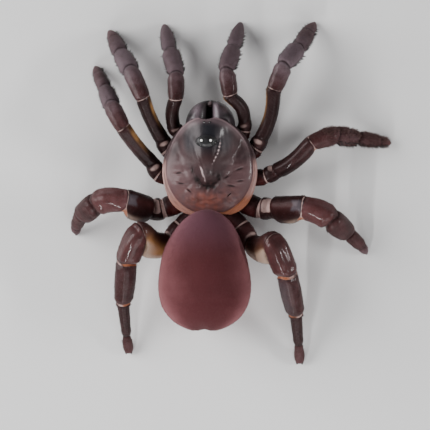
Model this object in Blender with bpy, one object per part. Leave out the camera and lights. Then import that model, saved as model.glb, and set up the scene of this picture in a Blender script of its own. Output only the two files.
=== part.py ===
"""Adult female trapdoor spider, life size, standing on eight legs and two palps.

The spider faces +Y, its right side is +X, and the floor is at Z = 0. Sizes are in millimetres, and MM
turns them into metres. Each limb is a chain of named segment lengths, and each segment has a bearing
(degrees clockwise from straight ahead, seen from above) and a pitch (degrees above level). Two
neighbouring segments are cut by one plane through their joint, so they meet face to face.
"""

import math

import bmesh
import bpy
from mathutils import Matrix, Vector

MM = 0.001
GAP = 0.3                       # clear space between neighbouring pieces, mm

# Prosoma, mm: the carapace is two half ovals that share one width
CARAPACE_HALF_WIDTH = 6.12
CARAPACE_WIDEST_Y = -0.7
CARAPACE_FRONT_LENGTH = 7.45
CARAPACE_REAR_LENGTH = 6.2
CARAPACE_FRONT_Y = 6.6          # the front margin is blunt
CARAPACE_REAR_Y = -6.6
CARAPACE_FLOOR = 4.4            # level of the underside
RIM_THICKNESS = 0.45
THORAX_HEIGHT = 1.5
PLEURA_WIDTH = 0.6              # soft side wall that shows outside the hard margin
PLEURA_REAR_WIDTH = 0.8         # added to it towards the rear corners
PLEURA_REAR_BEARING = 145.0
PLEURA_REAR_SPREAD = 25.0
CLYPEUS_START_Y = 3.4           # from here forward the underside rises over the chelicerae
CLYPEUS_SLOPE = 0.4
CARAPACE_SIDES = 44
CARAPACE_UPPER_SHARES = (0.05, 0.14, 0.24, 0.34, 0.43, 0.52, 0.62, 0.72, 0.82, 0.91, 0.97)
CARAPACE_UNDER_SHARES = (0.9, 0.7, 0.45, 0.2)

# Head hump of the carapace, mm
CAPUT_FRONT_Y = 7.9
CAPUT_CREST_Y = 2.4
CAPUT_REAR_Y = -4.0
CAPUT_HEIGHT = 2.5
CAPUT_FRONT_HALF_WIDTH = 6.0    # where the hump's sides have run out
CAPUT_REAR_HALF_WIDTH = 2.9
FOVEA_Y = -3.1                  # the groove behind the hump, its arms curved to the front
FOVEA_CURVE = 0.45
FOVEA_REACH = 1.9
FOVEA_WIDTH = 0.38
FOVEA_DEPTH = 0.5
FURROW_DEPTH = 0.22             # radial furrows of the thorax, one towards each leg
FURROW_BEARINGS = (62.0, 92.0, 128.0)
FURROW_WIDTH = 7.0              # degrees
FURROW_REACH = 0.62             # share of the way to the margin where they are deepest

# Eyes: centre x, centre y and radius of each lens of the right side, mm
EYE_MOUND = (0.0, 3.2)
EYE_MOUND_HALF = (1.55, 0.85)
EYE_MOUND_HEIGHT = 0.5
EYE_MOUND_SIDES = 16
EYE_MOUND_GAP = 0.42            # measured upwards, so that it is about GAP square to the slope
GROUP_EYES = ((0.5, 3.5, 0.34), (1.12, 3.15, 0.25), (0.66, 2.8, 0.18))
FRONT_EYE = (0.36, 6.1, 0.24)

# Underside of the prosoma, mm
STERNUM_CENTRE_Y = -2.3
STERNUM_HALF = (3.2, 4.6)
STERNUM_BOTTOM = 1.5
STERNUM_TOP = 4.1
LABIUM_CENTRE = (0.0, 2.35, 2.4)
STERNUM_SIDES = 28
LABIUM_HALF = (0.75, 0.95, 0.8)
PEDICEL_FACE_Y = -6.55          # where the waist meets the sternum
PEDICEL_RADIUS = 0.8
PEDICEL_PATH = ((0.5, 3.1), (-1.0, 3.1), (-2.0, 3.3), (-2.6, 4.6), (-3.4, 6.2))

# Chelicera of the right side, mm
CHELICERA_INNER_X = 0.15
CHELICERA_WIDEST_Y = 5.4
CHELICERA_REACH = 3.65
CHELICERA_OUTER_X = 3.5
CHELICERA_CENTRE_Z = 3.75
CHELICERA_HALF_HEIGHT = 2.1
CHELICERA_BOTTOM = 2.0
CHELICERA_SIDES = 16
CHELICERA_RINGS = 11
CHELICERA_SHARES = (-0.5, 0.99)  # first and last ring, as shares of the reach
CHELICERA_CLEARANCE = 0.42      # to the palp's coxa, which swells between its ends
FANG_PATH = ((1.5, 8.05, 1.95), (1.55, 7.75, 1.25), (1.55, 6.9, 0.95), (1.5, 5.8, 0.92),
             (1.4, 4.6, 1.25))
FANG_RADII = (0.62, 0.58, 0.45, 0.3, 0.1)

# Abdomen, mm: an egg, blunt end to the rear, lying a little to the left of the body line
ABDOMEN_FRONT_Y = -6.25
ABDOMEN_LENGTH = 17.0
ABDOMEN_HALF_WIDTH = 6.47
ABDOMEN_HALF_HEIGHT = 5.35
ABDOMEN_WIDEST = 0.617          # share of the length where the egg is widest
ABDOMEN_FRONT_POWER = 1.8
ABDOMEN_REAR_POWER = 2.4
ABDOMEN_FRONT_Z = 7.45
ABDOMEN_REAR_Z = 6.4
ABDOMEN_SHIFT_X = -0.48
ABDOMEN_NOTCH = 0.35            # depth of the groove between the two rear lobes
ABDOMEN_SIDES = 24
ABDOMEN_SHARES = (0.012, 0.05, 0.11, 0.19, 0.29, 0.4, 0.51, 0.617, 0.72, 0.81, 0.88, 0.935,
                  0.972, 0.993)
SPINNERET_SEAT = (-0.48, -21.35, 2.75)
SPINNERET_SLANT = 45.0
SPINNERET_LENGTH = 1.7
SPINNERET_RADIUS = 0.33
SPINNERET_SHARES = (0.0, 0.35, 0.45, 0.62, 0.72, 0.88, 1.05)
SPINNERET_GIRTHS = (1.0, 1.05, 0.8, 0.95, 0.7, 0.75, 0.3)

# Where each coxa starts at the sternum and where it ends, right side, mm
COXA_ROOT = {"palp": (1.35, 1.5, 2.7), "leg_1": (2.2, 0.1, 2.7), "leg_2": (2.75, -2.0, 2.7),
             "leg_3": (2.65, -4.4, 2.52), "leg_4": (1.8, -6.1, 2.7)}
COXA_END = {"palp": (4.5, 4.4, 3.0), "leg_1": (6.2, 2.2, 2.95), "leg_2": (7.45, -1.4, 2.95),
            "leg_3": (6.75, -6.1, 2.75), "leg_4": (4.3, -8.5, 3.1)}

# How far the end of a coxa lies to the front of its usual place, mm
COXA_SWING = {"leg_2_left": 0.15, "leg_2_right": -0.3}

LEG_SEGMENTS = ("trochanter", "femur", "patella", "tibia", "metatarsus", "tarsus")
PALP_SEGMENTS = ("trochanter", "femur", "patella", "tibia", "tarsus")

# Length of each segment between its joints, mm
LENGTHS = {"palp": (1.35, 4.6, 3.95, 4.3, 4.15),
           "leg_1": (1.65, 7.2, 4.4, 3.75, 3.05, 1.65),
           "leg_2": (1.8, 7.1, 3.65, 3.5, 3.25, 1.45),
           "leg_3": (1.8, 5.5, 4.95, 3.75, 3.0, 1.1),
           "leg_4": (3.1, 6.3, 5.3, 6.5, 5.55, 1.75)}

# Width of each segment at its start, middle and end, mm, the coxa first
WIDTHS = {"palp": ((1.5, 2.0, 2.1), (2.0, 2.1, 1.95), (1.95, 1.85, 2.0), (2.05, 2.27, 2.05),
                   (2.05, 2.42, 1.65), (1.75, 1.85, 0.85)),
          "leg_1": ((1.8, 2.4, 2.4), (2.3, 2.35, 2.2), (2.15, 1.92, 2.1), (2.15, 2.37, 2.3),
                    (2.3, 2.55, 1.9), (1.95, 2.15, 1.75), (1.7, 1.5, 1.0)),
          "leg_2": ((2.0, 2.6, 2.5), (2.3, 2.4, 2.2), (2.15, 2.05, 2.15), (2.1, 2.35, 2.25),
                    (2.2, 2.3, 1.8), (1.65, 1.8, 1.5), (1.45, 1.35, 1.0)),
          "leg_3": ((2.9, 3.3, 3.2), (3.2, 3.15, 2.75), (2.7, 3.05, 2.8), (2.95, 3.3, 3.1),
                    (2.9, 2.95, 2.05), (1.85, 1.8, 1.5), (1.4, 1.3, 1.0)),
          "leg_4": ((1.9, 2.4, 2.45), (2.45, 2.75, 2.55), (2.5, 3.0, 2.85), (3.05, 3.35, 2.9),
                    (2.65, 2.8, 2.1), (1.65, 1.43, 1.15), (1.25, 1.4, 1.25))}

# Height of each segment's section, as a share of its width
DEPTH = {"coxa": 0.8, "trochanter": 1.0, "femur": 1.12, "patella": 1.0, "tibia": 1.05,
         "metatarsus": 1.0, "tarsus": 0.95}
DEEP_FEMUR = {"leg_3": 1.33, "leg_4": 1.33}

# A femur bows to its rear side and bellies out below, and a patella arches upwards, mm
FEMUR_BOW = {"palp_left": 0.4, "palp_right": 0.65, "leg_1_left": 0.3, "leg_1_right": 0.5,
             "leg_2_left": 0.2, "leg_2_right": 0.6}
STRAIGHT_BOW = 0.1              # of the femora of legs III and IV
FEMUR_BELLY = {"palp": 0.1, "leg_1": 0.1, "leg_2": 0.1, "leg_3": 0.2, "leg_4": 1.0}
PATELLA_ARCH = {"palp": 0.05, "leg_1": 0.1, "leg_2": 0.15, "leg_3": 0.6, "leg_4": 0.15}

# How far each limb's upper side leans to the front, as a share of up
LEAN = {"leg_2_right": 1.0, "leg_3_left": 1.2, "leg_3_right": 1.2, "leg_4_left": 1.2,
        "leg_4_right": 1.2}

# Bearing and pitch of each segment from the trochanter out; the pitch of the last but one is worked
# out so that the foot stands on the floor
STANDS = None
POSE = {
    "palp_left": ((-35, 22), (10, 34), (-2, -20), (-19, STANDS), (-18, -40)),
    "palp_right": ((14, 19), (-25, 24), (-8, 3), (13, STANDS), (10, -42)),
    "leg_1_left": ((-25, 9), (-21, 31), (-27, -21), (-34, -30), (-31, STANDS), (-36, -44)),
    "leg_1_right": ((31, 12), (17, 17), (23, 4), (38, -33), (25, STANDS), (29, -49)),
    "leg_2_left": ((-29, 11), (-36, 30), (-30, -19), (-28, -36), (-31, STANDS), (-31, -49)),
    "leg_2_right": ((66, 12), (53.5, 20), (72, -20), (98, -35), (97, STANDS), (97, -46)),
    "leg_3_left": ((-97, 9), (-67, 54), (-98, -14), (-124, -45), (-145, STANDS), (-174, -58)),
    "leg_3_right": ((90, 12), (89, 36), (113, -8), (132, -49), (136, STANDS), (149, -47)),
    "leg_4_left": ((-146, 2), (-62, 55), (-152, -24), (-172, -22), (178, STANDS), (177, -34)),
    "leg_4_right": ((151, 6), (82, 56), (158, -16), (171, -29), (178, STANDS), (180, -31)),
}

FLAT_DEPTH = 0.12               # how much of the tip's ball the floor takes off, mm
CLAW_LENGTH = {"leg_1": 0.6, "leg_2": 0.6, "leg_3": 0.65, "leg_4": 0.65}
CLAW_RADII = (0.24, 0.18, 0.06)
CLAW_SPREAD = 16.0
CLAW_PITCH = -4.0

# Finishes: colour and roughness
BLACK_GLOSS = ((0.035, 0.024, 0.026), 0.3)
BROWN_GLOSS = ((0.045, 0.022, 0.022), 0.35)
GREY_BROWN = ((0.085, 0.065, 0.07), 0.6)
ABDOMEN_MATT = ((0.1, 0.028, 0.036), 0.75)
EYE_BLACK = ((0.006, 0.006, 0.008), 0.12)

SIDES = 12                      # round a long segment of a limb
END_SIDES = 10                  # round a coxa, trochanter, metatarsus or tarsus
SMALL_SIDES = 6
DOME_ANGLES = (72.0, 38.0)
SEGMENT_SHARES = (0.0, 0.14, 0.32, 0.5, 0.68, 0.86, 1.0)
SHARP_ANGLE = 40.0


def vector(point):
    """A point or size in millimetres as a vector in metres."""
    return Vector(point) * MM


def mirrored(point, side):
    """A point of the right side, or its mirror image on the left."""
    return (point[0] * side, point[1], point[2])


def coxa_line(kind, side):
    """The joints at a coxa's root and end, in metres."""
    swing = COXA_SWING.get(kind + ("_left" if side < 0 else "_right"), 0.0)
    end = mirrored(COXA_END[kind], side)
    return vector(mirrored(COXA_ROOT[kind], side)), vector((end[0], end[1] + swing, end[2]))


def heading(bearing, pitch):
    """Unit vector of a bearing and a pitch in degrees."""
    turn = math.radians(bearing)
    rise = math.radians(pitch)
    level = math.cos(rise)
    return Vector((math.sin(turn) * level, math.cos(turn) * level, math.sin(rise)))


def placing(start, along, up):
    """Matrix whose Y axis runs along a limb and whose Z axis is the limb's upper side."""
    across = along.cross(up).normalized()
    upper = across.cross(along).normalized()
    turn = Matrix((across, along, upper)).transposed()
    return Matrix.Translation(start) @ turn.to_4x4()


def clear_scene():
    """Remove every object, so that the file holds only this model."""
    for thing in list(bpy.data.objects):
        bpy.data.objects.remove(thing, do_unlink=True)


def loft(rings):
    """Closed mesh through rings of points, each end drawn to its middle."""
    shape = bmesh.new()
    loops = [[shape.verts.new(point) for point in ring] for ring in rings]
    for lower, upper in zip(loops, loops[1:]):
        for here in range(len(lower)):
            after = (here + 1) % len(lower)
            shape.faces.new((lower[here], lower[after], upper[after], upper[here]))
    for loop in (loops[0], loops[-1]):
        middle = sum((corner.co for corner in loop), Vector()) / len(loop)
        pole = shape.verts.new(middle)
        for here in range(len(loop)):
            after = (here + 1) % len(loop)
            shape.faces.new((loop[here], loop[after], pole))
    bmesh.ops.recalc_face_normals(shape, faces=shape.faces)
    return shape


def oval(centre, across, upper, half_width, half_height, sides):
    """Points of an oval round a centre, in the plane of two unit vectors."""
    points = []
    for step in range(sides):
        angle = 2.0 * math.pi * step / sides
        points.append(centre + across * half_width * math.cos(angle)
                      + upper * half_height * math.sin(angle))
    return points


def cut(shape, point, outward):
    """Take off what lies beyond a plane and close the cut with a flat face."""
    geometry = list(shape.verts) + list(shape.edges) + list(shape.faces)
    result = bmesh.ops.bisect_plane(shape, geom=geometry, dist=1e-8, plane_co=point,
                                    plane_no=outward, clear_outer=True)
    rim = [item for item in result["geom_cut"] if isinstance(item, bmesh.types.BMEdge)]
    if rim:
        bmesh.ops.edgeloop_fill(shape, edges=rim)
    bmesh.ops.recalc_face_normals(shape, faces=shape.faces)


def keep_largest(shape):
    """Keep the largest closed surface of a mesh."""
    left = set(shape.verts)
    best = set()
    while left:
        group = set()
        front = [left.pop()]
        while front:
            corner = front.pop()
            group.add(corner)
            for edge in corner.link_edges:
                other = edge.other_vert(corner)
                if other in left:
                    left.remove(other)
                    front.append(other)
        if len(group) > len(best):
            best = group
    scrap = [corner for corner in shape.verts if corner not in best]
    bmesh.ops.delete(shape, geom=scrap, context="VERTS")


def union(shapes):
    """One closed mesh from several that cross each other."""
    pieces = bpy.data.collections.new("pieces")
    base = None
    for number, shape in enumerate(shapes):
        mesh = bpy.data.meshes.new("piece")
        shape.to_mesh(mesh)
        shape.free()
        piece = bpy.data.objects.new("piece", mesh)
        if number == 0:
            base = piece
            bpy.context.scene.collection.objects.link(base)
        else:
            pieces.objects.link(piece)
    bpy.context.scene.collection.children.link(pieces)
    joiner = base.modifiers.new("union", "BOOLEAN")
    joiner.operation = "UNION"
    joiner.operand_type = "COLLECTION"
    joiner.collection = pieces
    joiner.solver = "EXACT"
    bpy.context.view_layer.update()
    joined = bmesh.new()
    joined.from_object(base, bpy.context.evaluated_depsgraph_get())
    for piece in list(pieces.objects) + [base]:
        bpy.data.objects.remove(piece, do_unlink=True)
    bpy.data.collections.remove(pieces)
    keep_largest(joined)
    return joined


def node(name, shape, finish, parent, place=None):
    """A named object with its own material, placed under the spider's empty."""
    mesh = bpy.data.meshes.new(name)
    shape.to_mesh(mesh)
    shape.free()
    mesh.shade_smooth()
    mesh.set_sharp_from_angle(angle=math.radians(SHARP_ANGLE))
    colour, roughness = finish
    material = bpy.data.materials.new(name + "_finish")
    material.use_nodes = True
    shader = material.node_tree.nodes["Principled BSDF"]
    shader.inputs["Base Color"].default_value = (*colour, 1.0)
    shader.inputs["Roughness"].default_value = roughness
    shader.inputs["Metallic"].default_value = 0.0
    mesh.materials.append(material)
    thing = bpy.data.objects.new(name, mesh)
    bpy.context.scene.collection.objects.link(thing)
    thing.parent = parent
    if place is not None:
        thing.location = place.to_translation()
        thing.rotation_euler = place.to_euler()
    return thing


def width_at(widths, share):
    """Width at a share of the length, on the curve through the start, middle and end widths."""
    start, middle, end = widths
    return (start * (1.0 - share) * (1.0 - 2.0 * share) + 4.0 * middle * share * (1.0 - share)
            + end * share * (2.0 * share - 1.0))


def segment(length, widths, depth, bow=0.0, belly=0.0, sides=SIDES):
    """A limb segment along +Y: an oval tube with a ball at each joint, in metres."""
    rings = []
    across = Vector((1.0, 0.0, 0.0))
    upper = Vector((0.0, 0.0, 1.0))

    def ring(along, width, centre_x=0.0, centre_z=0.0):
        middle = vector((centre_x, along, centre_z))
        half = 0.5 * width * MM
        rings.append(oval(middle, across, upper, half, half * depth, sides))

    for angle in DOME_ANGLES:
        reach = 0.5 * widths[0] * math.sin(math.radians(angle))
        ring(-reach, widths[0] * math.cos(math.radians(angle)))
    for share in SEGMENT_SHARES:
        swing = math.sin(math.pi * share)
        ring(share * length, width_at(widths, share), bow * swing, -belly * swing)
    for angle in reversed(DOME_ANGLES):
        reach = 0.5 * widths[2] * math.sin(math.radians(angle))
        ring(length + reach, widths[2] * math.cos(math.radians(angle)))
    return loft(rings)


def tube(path, radii, sides=SMALL_SIDES):
    """A tube through points in millimetres, with a radius at each."""
    rings = []
    points = [Vector(point) for point in path]
    for number, point in enumerate(points):
        before = points[max(number - 1, 0)]
        after = points[min(number + 1, len(points) - 1)]
        along = (after - before).normalized()
        guide = Vector((1.0, 0.0, 0.0)) if abs(along.x) < 0.8 else Vector((0.0, 0.0, 1.0))
        upper = guide.cross(along).normalized()
        across = along.cross(upper)
        rings.append(oval(point * MM, across, upper, radii[number] * MM, radii[number] * MM, sides))
    return loft(rings)


def ellipsoid(centre, half, sides=SIDES, rows=6):
    """A closed oval ball, its rows stacked along Z."""
    rings = []
    for row in range(rows):
        angle = math.pi * ((row + 0.6) / (rows + 0.2) - 0.5)
        middle = Vector((centre[0], centre[1], centre[2] + half[2] * math.sin(angle)))
        level = math.cos(angle)
        rings.append(oval(middle * MM, Vector((1.0, 0.0, 0.0)), Vector((0.0, 1.0, 0.0)),
                          half[0] * level * MM, half[1] * level * MM, sides))
    return loft(rings)


def carapace_length(y):
    """Half length of the carapace's outline oval, ahead of or behind its widest line."""
    return CARAPACE_FRONT_LENGTH if y > CARAPACE_WIDEST_Y else CARAPACE_REAR_LENGTH


def underside_z(y):
    """Level of the carapace's underside, which rises to the front over the chelicerae."""
    return CARAPACE_FLOOR + CLYPEUS_SLOPE * max(0.0, y - CLYPEUS_START_Y)


def fall(share):
    """A smooth slope from 1 at share 0 to 0 at share 1 and beyond."""
    return 0.5 + 0.5 * math.cos(math.pi * min(1.0, max(0.0, share)))


def caput_share(x, y):
    """How much of the head hump's height stands at a point, from 0 to 1."""
    if y > CAPUT_CREST_Y:
        along = (y - CAPUT_CREST_Y) / (CAPUT_FRONT_Y - CAPUT_CREST_Y)
        lengthwise = max(0.0, 1.0 - along ** 2.4) ** 0.7
    else:
        along = (CAPUT_CREST_Y - y) / (CAPUT_CREST_Y - CAPUT_REAR_Y)
        lengthwise = fall(along ** 1.5)
    blend = 1.0 - fall((y - CAPUT_REAR_Y) / (CAPUT_FRONT_Y - CAPUT_REAR_Y))
    half = CAPUT_REAR_HALF_WIDTH + (CAPUT_FRONT_HALF_WIDTH - CAPUT_REAR_HALF_WIDTH) * blend
    return lengthwise * fall((abs(x) / half) ** 1.25)


def groove(x, y):
    """Depth of the curved fovea and of the radial furrows at a point."""
    line_y = FOVEA_Y + FOVEA_CURVE * x * x
    pit = FOVEA_DEPTH * math.exp(-((y - line_y) / FOVEA_WIDTH) ** 2)
    pit *= fall((abs(x) / FOVEA_REACH) ** 4)
    reach = math.hypot(x / CARAPACE_HALF_WIDTH, (y - CARAPACE_WIDEST_Y) / carapace_length(y))
    bearing = math.degrees(math.atan2(abs(x), y - CARAPACE_WIDEST_Y))
    along = math.exp(-((reach - FURROW_REACH) / 0.2) ** 2)
    for middle in FURROW_BEARINGS:
        pit += FURROW_DEPTH * along * math.exp(-((bearing - middle) / FURROW_WIDTH) ** 2)
    return pit


def carapace_z(x, y):
    """Level of the carapace's upper surface."""
    reach = math.hypot(x / CARAPACE_HALF_WIDTH, (y - CARAPACE_WIDEST_Y) / carapace_length(y))
    dome = max(0.0, 1.0 - reach ** 2) ** 0.6
    height = RIM_THICKNESS + THORAX_HEIGHT * dome + CAPUT_HEIGHT * caput_share(x, y)
    return underside_z(y) + height - groove(x, y)


def pleura_width(angle):
    """Width of the soft side wall at an angle from ahead: none in front, most at the rear corners."""
    bearing = math.degrees(min(angle, 2.0 * math.pi - angle))
    corner = (bearing - PLEURA_REAR_BEARING) / PLEURA_REAR_SPREAD
    width = PLEURA_WIDTH + PLEURA_REAR_WIDTH * math.exp(-corner * corner)
    return width * (1.0 - math.cos(0.5 * angle) ** 8)


def carapace_outline(angle, widening):
    """Point of the outline at an angle from straight ahead, pushed out by a width."""
    ahead = math.cos(angle)
    length = CARAPACE_FRONT_LENGTH if ahead > 0.0 else CARAPACE_REAR_LENGTH
    x = (CARAPACE_HALF_WIDTH + widening) * math.sin(angle)
    y = CARAPACE_WIDEST_Y + (length + 0.5 * widening) * ahead
    return x, min(max(y, CARAPACE_REAR_Y - 0.3 * widening), CARAPACE_FRONT_Y)


def make_carapace(parent):
    """The shield: a domed plate with the head hump, a soft side wall and the two front eyes."""
    rings = []

    def ring(share, pleura, level):
        points = []
        for step in range(CARAPACE_SIDES):
            angle = 2.0 * math.pi * step / CARAPACE_SIDES
            edge_x, edge_y = carapace_outline(angle, pleura * pleura_width(angle))
            x = edge_x * share
            y = CARAPACE_WIDEST_Y + (edge_y - CARAPACE_WIDEST_Y) * share
            points.append(vector((x, y, level(x, y))))
        rings.append(points)

    for share in CARAPACE_UPPER_SHARES:
        ring(share, 0.0, carapace_z)
    ring(1.0, 0.0, lambda x, y: underside_z(y) + RIM_THICKNESS)
    ring(1.0, 1.0, lambda x, y: underside_z(y) + 0.5 * RIM_THICKNESS)
    ring(1.0, 1.0, lambda x, y: underside_z(y))
    for share in CARAPACE_UNDER_SHARES:
        ring(share, 0.0, lambda x, y: underside_z(y))
    lenses = []
    for side in (-1, 1):
        x, y, radius = FRONT_EYE
        lenses.append(ellipsoid((x * side, y, carapace_z(x, y)), (radius, radius, radius), 8, 4))
    node("carapace", union([loft(rings)] + lenses), BLACK_GLOSS, parent)


def make_eyes(parent):
    """The eye mound with its six lenses, standing on the head hump."""
    centre_x, centre_y = EYE_MOUND
    half_x, half_y = EYE_MOUND_HALF

    def ring(share, lift):
        points = []
        for step in range(EYE_MOUND_SIDES):
            angle = 2.0 * math.pi * step / EYE_MOUND_SIDES
            x = centre_x + half_x * share * math.cos(angle)
            y = centre_y + half_y * share * math.sin(angle)
            points.append(vector((x, y, carapace_z(x, y) + EYE_MOUND_GAP + lift)))
        return points

    lift = EYE_MOUND_HEIGHT
    rings = [ring(0.3, 0.0), ring(0.7, 0.0), ring(1.0, 0.0), ring(0.92, 0.45 * lift),
             ring(0.7, 0.8 * lift), ring(0.35, lift)]
    pieces = [loft(rings)]
    for x, y, radius in GROUP_EYES:
        for side in (-1, 1):
            level = carapace_z(x, y) + EYE_MOUND_GAP + 0.55 * lift
            pieces.append(ellipsoid((x * side, y, level), (radius, radius, radius * 1.1), 8, 5))
    node("eye_tubercle", union(pieces), EYE_BLACK, parent)


def make_sternum(parent):
    """The plate below the prosoma with the labium in front, one facet towards each coxa."""
    rings = []
    half_x, half_y = STERNUM_HALF
    middle = 0.5 * (STERNUM_BOTTOM + STERNUM_TOP)
    thick = 0.5 * (STERNUM_TOP - STERNUM_BOTTOM)
    for share, level in ((0.5, -1.0), (0.85, -0.92), (1.0, -0.6), (1.0, 1.0)):
        centre = vector((0.0, STERNUM_CENTRE_Y, middle + thick * level))
        rings.append(oval(centre, Vector((1.0, 0.0, 0.0)), Vector((0.0, 1.0, 0.0)),
                          half_x * share * MM, half_y * share * MM, STERNUM_SIDES))
    shape = union([loft(rings), ellipsoid(LABIUM_CENTRE, LABIUM_HALF, 10, 5)])
    for kind in COXA_ROOT:
        for side in (-1, 1):
            root, end = coxa_line(kind, side)
            along = (end - root).normalized()
            cut(shape, root - along * 0.5 * GAP * MM, along)
    cut(shape, vector((0.0, PEDICEL_FACE_Y + 0.5 * GAP, 0.0)), Vector((0.0, -1.0, 0.0)))
    node("sternum", shape, BROWN_GLOSS, parent)


def make_chelicera(side, name, parent):
    """A jaw base: a dome wider to the rear, flat on its inner side, below and above its root."""
    rings = []
    first, last = CHELICERA_SHARES
    for step in range(CHELICERA_RINGS):
        share = first + (last - first) * step / (CHELICERA_RINGS - 1)
        y = CHELICERA_WIDEST_Y + CHELICERA_REACH * share
        taper = (1.0 - abs(share) ** 2.1) ** (1.0 / 2.1)
        outer = CHELICERA_OUTER_X * taper
        half_width = max(0.05, 0.5 * (outer - CHELICERA_INNER_X))
        half_height = CHELICERA_HALF_HEIGHT * (1.0 - abs(share) ** 2.8) ** (1.0 / 2.8)
        centre = vector((side * (CHELICERA_INNER_X + half_width), y, CHELICERA_CENTRE_Z))
        rings.append(oval(centre, Vector((1.0, 0.0, 0.0)), Vector((0.0, 0.0, 1.0)),
                          half_width * MM, half_height * MM, CHELICERA_SIDES))
    shape = loft(rings)
    slope = Vector((0.0, -CLYPEUS_SLOPE, 1.0)).normalized()
    cut(shape, vector((0.0, CLYPEUS_START_Y, CARAPACE_FLOOR)) - slope * GAP * MM, slope)
    cut(shape, vector((0.0, 0.0, CHELICERA_BOTTOM)), Vector((0.0, 0.0, -1.0)))
    root, end = coxa_line("palp", side)
    along = end - root
    ahead = Vector((-side * abs(along.y), abs(along.x), 0.0)).normalized()
    clear = 0.5 * WIDTHS["palp"][0][2] + CHELICERA_CLEARANCE
    cut(shape, root + ahead * clear * MM, -ahead)
    node(name, shape, BLACK_GLOSS, parent)


def make_fang(side, name, parent):
    """A curved fang that lies folded back under its chelicera."""
    shape = tube([mirrored(point, side) for point in FANG_PATH], FANG_RADII, 10)
    cut(shape, vector((0.0, 0.0, CHELICERA_BOTTOM - GAP)), Vector((0.0, 0.0, 1.0)))
    node(name, shape, BLACK_GLOSS, parent)


def abdomen_share(t):
    """Girth of the egg at a share of its length, as a share of the largest."""
    if t < ABDOMEN_WIDEST:
        away = 1.0 - t / ABDOMEN_WIDEST
        return math.sqrt(max(0.0, 1.0 - away ** ABDOMEN_FRONT_POWER))
    away = (t - ABDOMEN_WIDEST) / (1.0 - ABDOMEN_WIDEST)
    return math.sqrt(max(0.0, 1.0 - away ** ABDOMEN_REAR_POWER))


def seat_plane():
    """Point and outward direction of the facet that carries the spinnerets."""
    slant = math.radians(SPINNERET_SLANT)
    return vector(SPINNERET_SEAT), Vector((0.0, -math.cos(slant), -math.sin(slant)))


def make_abdomen(parent):
    """The egg of the abdomen with its two rear lobes, and the narrow waist in front."""
    rings = []
    for share in ABDOMEN_SHARES:
        girth = abdomen_share(share)
        y = ABDOMEN_FRONT_Y - ABDOMEN_LENGTH * share
        sway = ABDOMEN_SHIFT_X * min(1.0, share / 0.3)
        level = ABDOMEN_FRONT_Z + (ABDOMEN_REAR_Z - ABDOMEN_FRONT_Z) * min(1.0, share / 0.6)
        points = oval(vector((sway, y, level)), Vector((1.0, 0.0, 0.0)), Vector((0.0, 0.0, 1.0)),
                      ABDOMEN_HALF_WIDTH * girth * MM, ABDOMEN_HALF_HEIGHT * girth * MM,
                      ABDOMEN_SIDES)
        rear = max(0.0, (share - 0.9) / 0.1)
        for point in points:
            inward = math.exp(-((point.x / MM - sway) / 0.9) ** 2)
            point.y += ABDOMEN_NOTCH * rear * inward * MM
        rings.append(points)
    waist = [(0.0, PEDICEL_FACE_Y + along, level) for along, level in PEDICEL_PATH]
    stem = tube(waist, (PEDICEL_RADIUS,) * len(waist), 10)
    cut(stem, vector((0.0, PEDICEL_FACE_Y - 0.5 * GAP, 0.0)), Vector((0.0, 1.0, 0.0)))
    shape = union([loft(rings), stem])
    point, outward = seat_plane()
    cut(shape, point, outward)
    node("abdomen", shape, ABDOMEN_MATT, parent)


def make_spinnerets(parent):
    """Four spinnerets on one low base: a long jointed pair and a short pair between them."""
    seat, outward = seat_plane()
    middle = Vector(SPINNERET_SEAT)
    pieces = [ellipsoid(middle + outward * 0.25, (1.15, 0.8, 0.75), 12, 5)]
    for side in (-1, 1):
        root = middle + Vector((0.6 * side, 0.0, 0.0))
        way = Vector((0.3 * side, -1.0, -0.45)).normalized()
        path = [root + way * (SPINNERET_LENGTH * share + 0.3) for share in SPINNERET_SHARES]
        pieces.append(tube(path, [SPINNERET_RADIUS * girth for girth in SPINNERET_GIRTHS], 8))
        short = [middle + Vector((0.2 * side, 0.0, 0.0)) + way * reach for reach in (0.3, 0.95, 1.15)]
        pieces.append(tube(short, (0.17, 0.15, 0.07), 6))
    shape = union(pieces)
    cut(shape, seat + outward * GAP * MM, -outward)
    node("spinnerets", shape, GREY_BROWN, parent)


def limb_chain(name, kind, side):
    """Joints of a limb from the coxa's root out, and the unit vector of each segment."""
    joints = list(coxa_line(kind, side))
    ways = [(joints[1] - joints[0]).normalized()]
    lengths = LENGTHS[kind]
    pose = POSE[name]
    tip = (0.5 * WIDTHS[kind][-1][2] * DEPTH["tarsus"] - FLAT_DEPTH) * MM
    for number, (bearing, pitch) in enumerate(pose):
        if pitch is STANDS:
            last = lengths[-1] * MM * math.sin(math.radians(pose[-1][1]))
            pitch = math.degrees(math.asin((tip - last - joints[-1].z) / (lengths[number] * MM)))
        way = heading(bearing, pitch)
        ways.append(way)
        joints.append(joints[-1] + way * lengths[number] * MM)
    return joints, ways


def make_claws(tip, bearing, length):
    """Two short claws that spread from the tip of a foot."""
    claws = []
    start = Vector(tip) / MM
    for side in (-1, 1):
        way = heading(bearing + CLAW_SPREAD * side, CLAW_PITCH)
        path = [start + way * length * share for share in (0.1, 0.6, 1.0)]
        claws.append(tube(path, CLAW_RADII, SMALL_SIDES))
    return claws


def part_from_neighbours(shape, kind, side):
    """Cut a coxa free of the coxae ahead of it and behind it, each by a plane half way between."""
    kinds = list(COXA_ROOT)
    number = kinds.index(kind)
    root, end = coxa_line(kind, side)
    for other in kinds[max(number - 1, 0):number] + kinds[number + 1:number + 2]:
        other_root, other_end = coxa_line(other, side)
        along = end + other_end - root - other_root
        outward = along.cross(Vector((0.0, 0.0, 1.0))).normalized()
        if outward.dot(other_end - end) < 0.0:
            outward.negate()
        cut(shape, 0.5 * (root + other_root) - outward * 0.5 * GAP * MM, outward)


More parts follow.
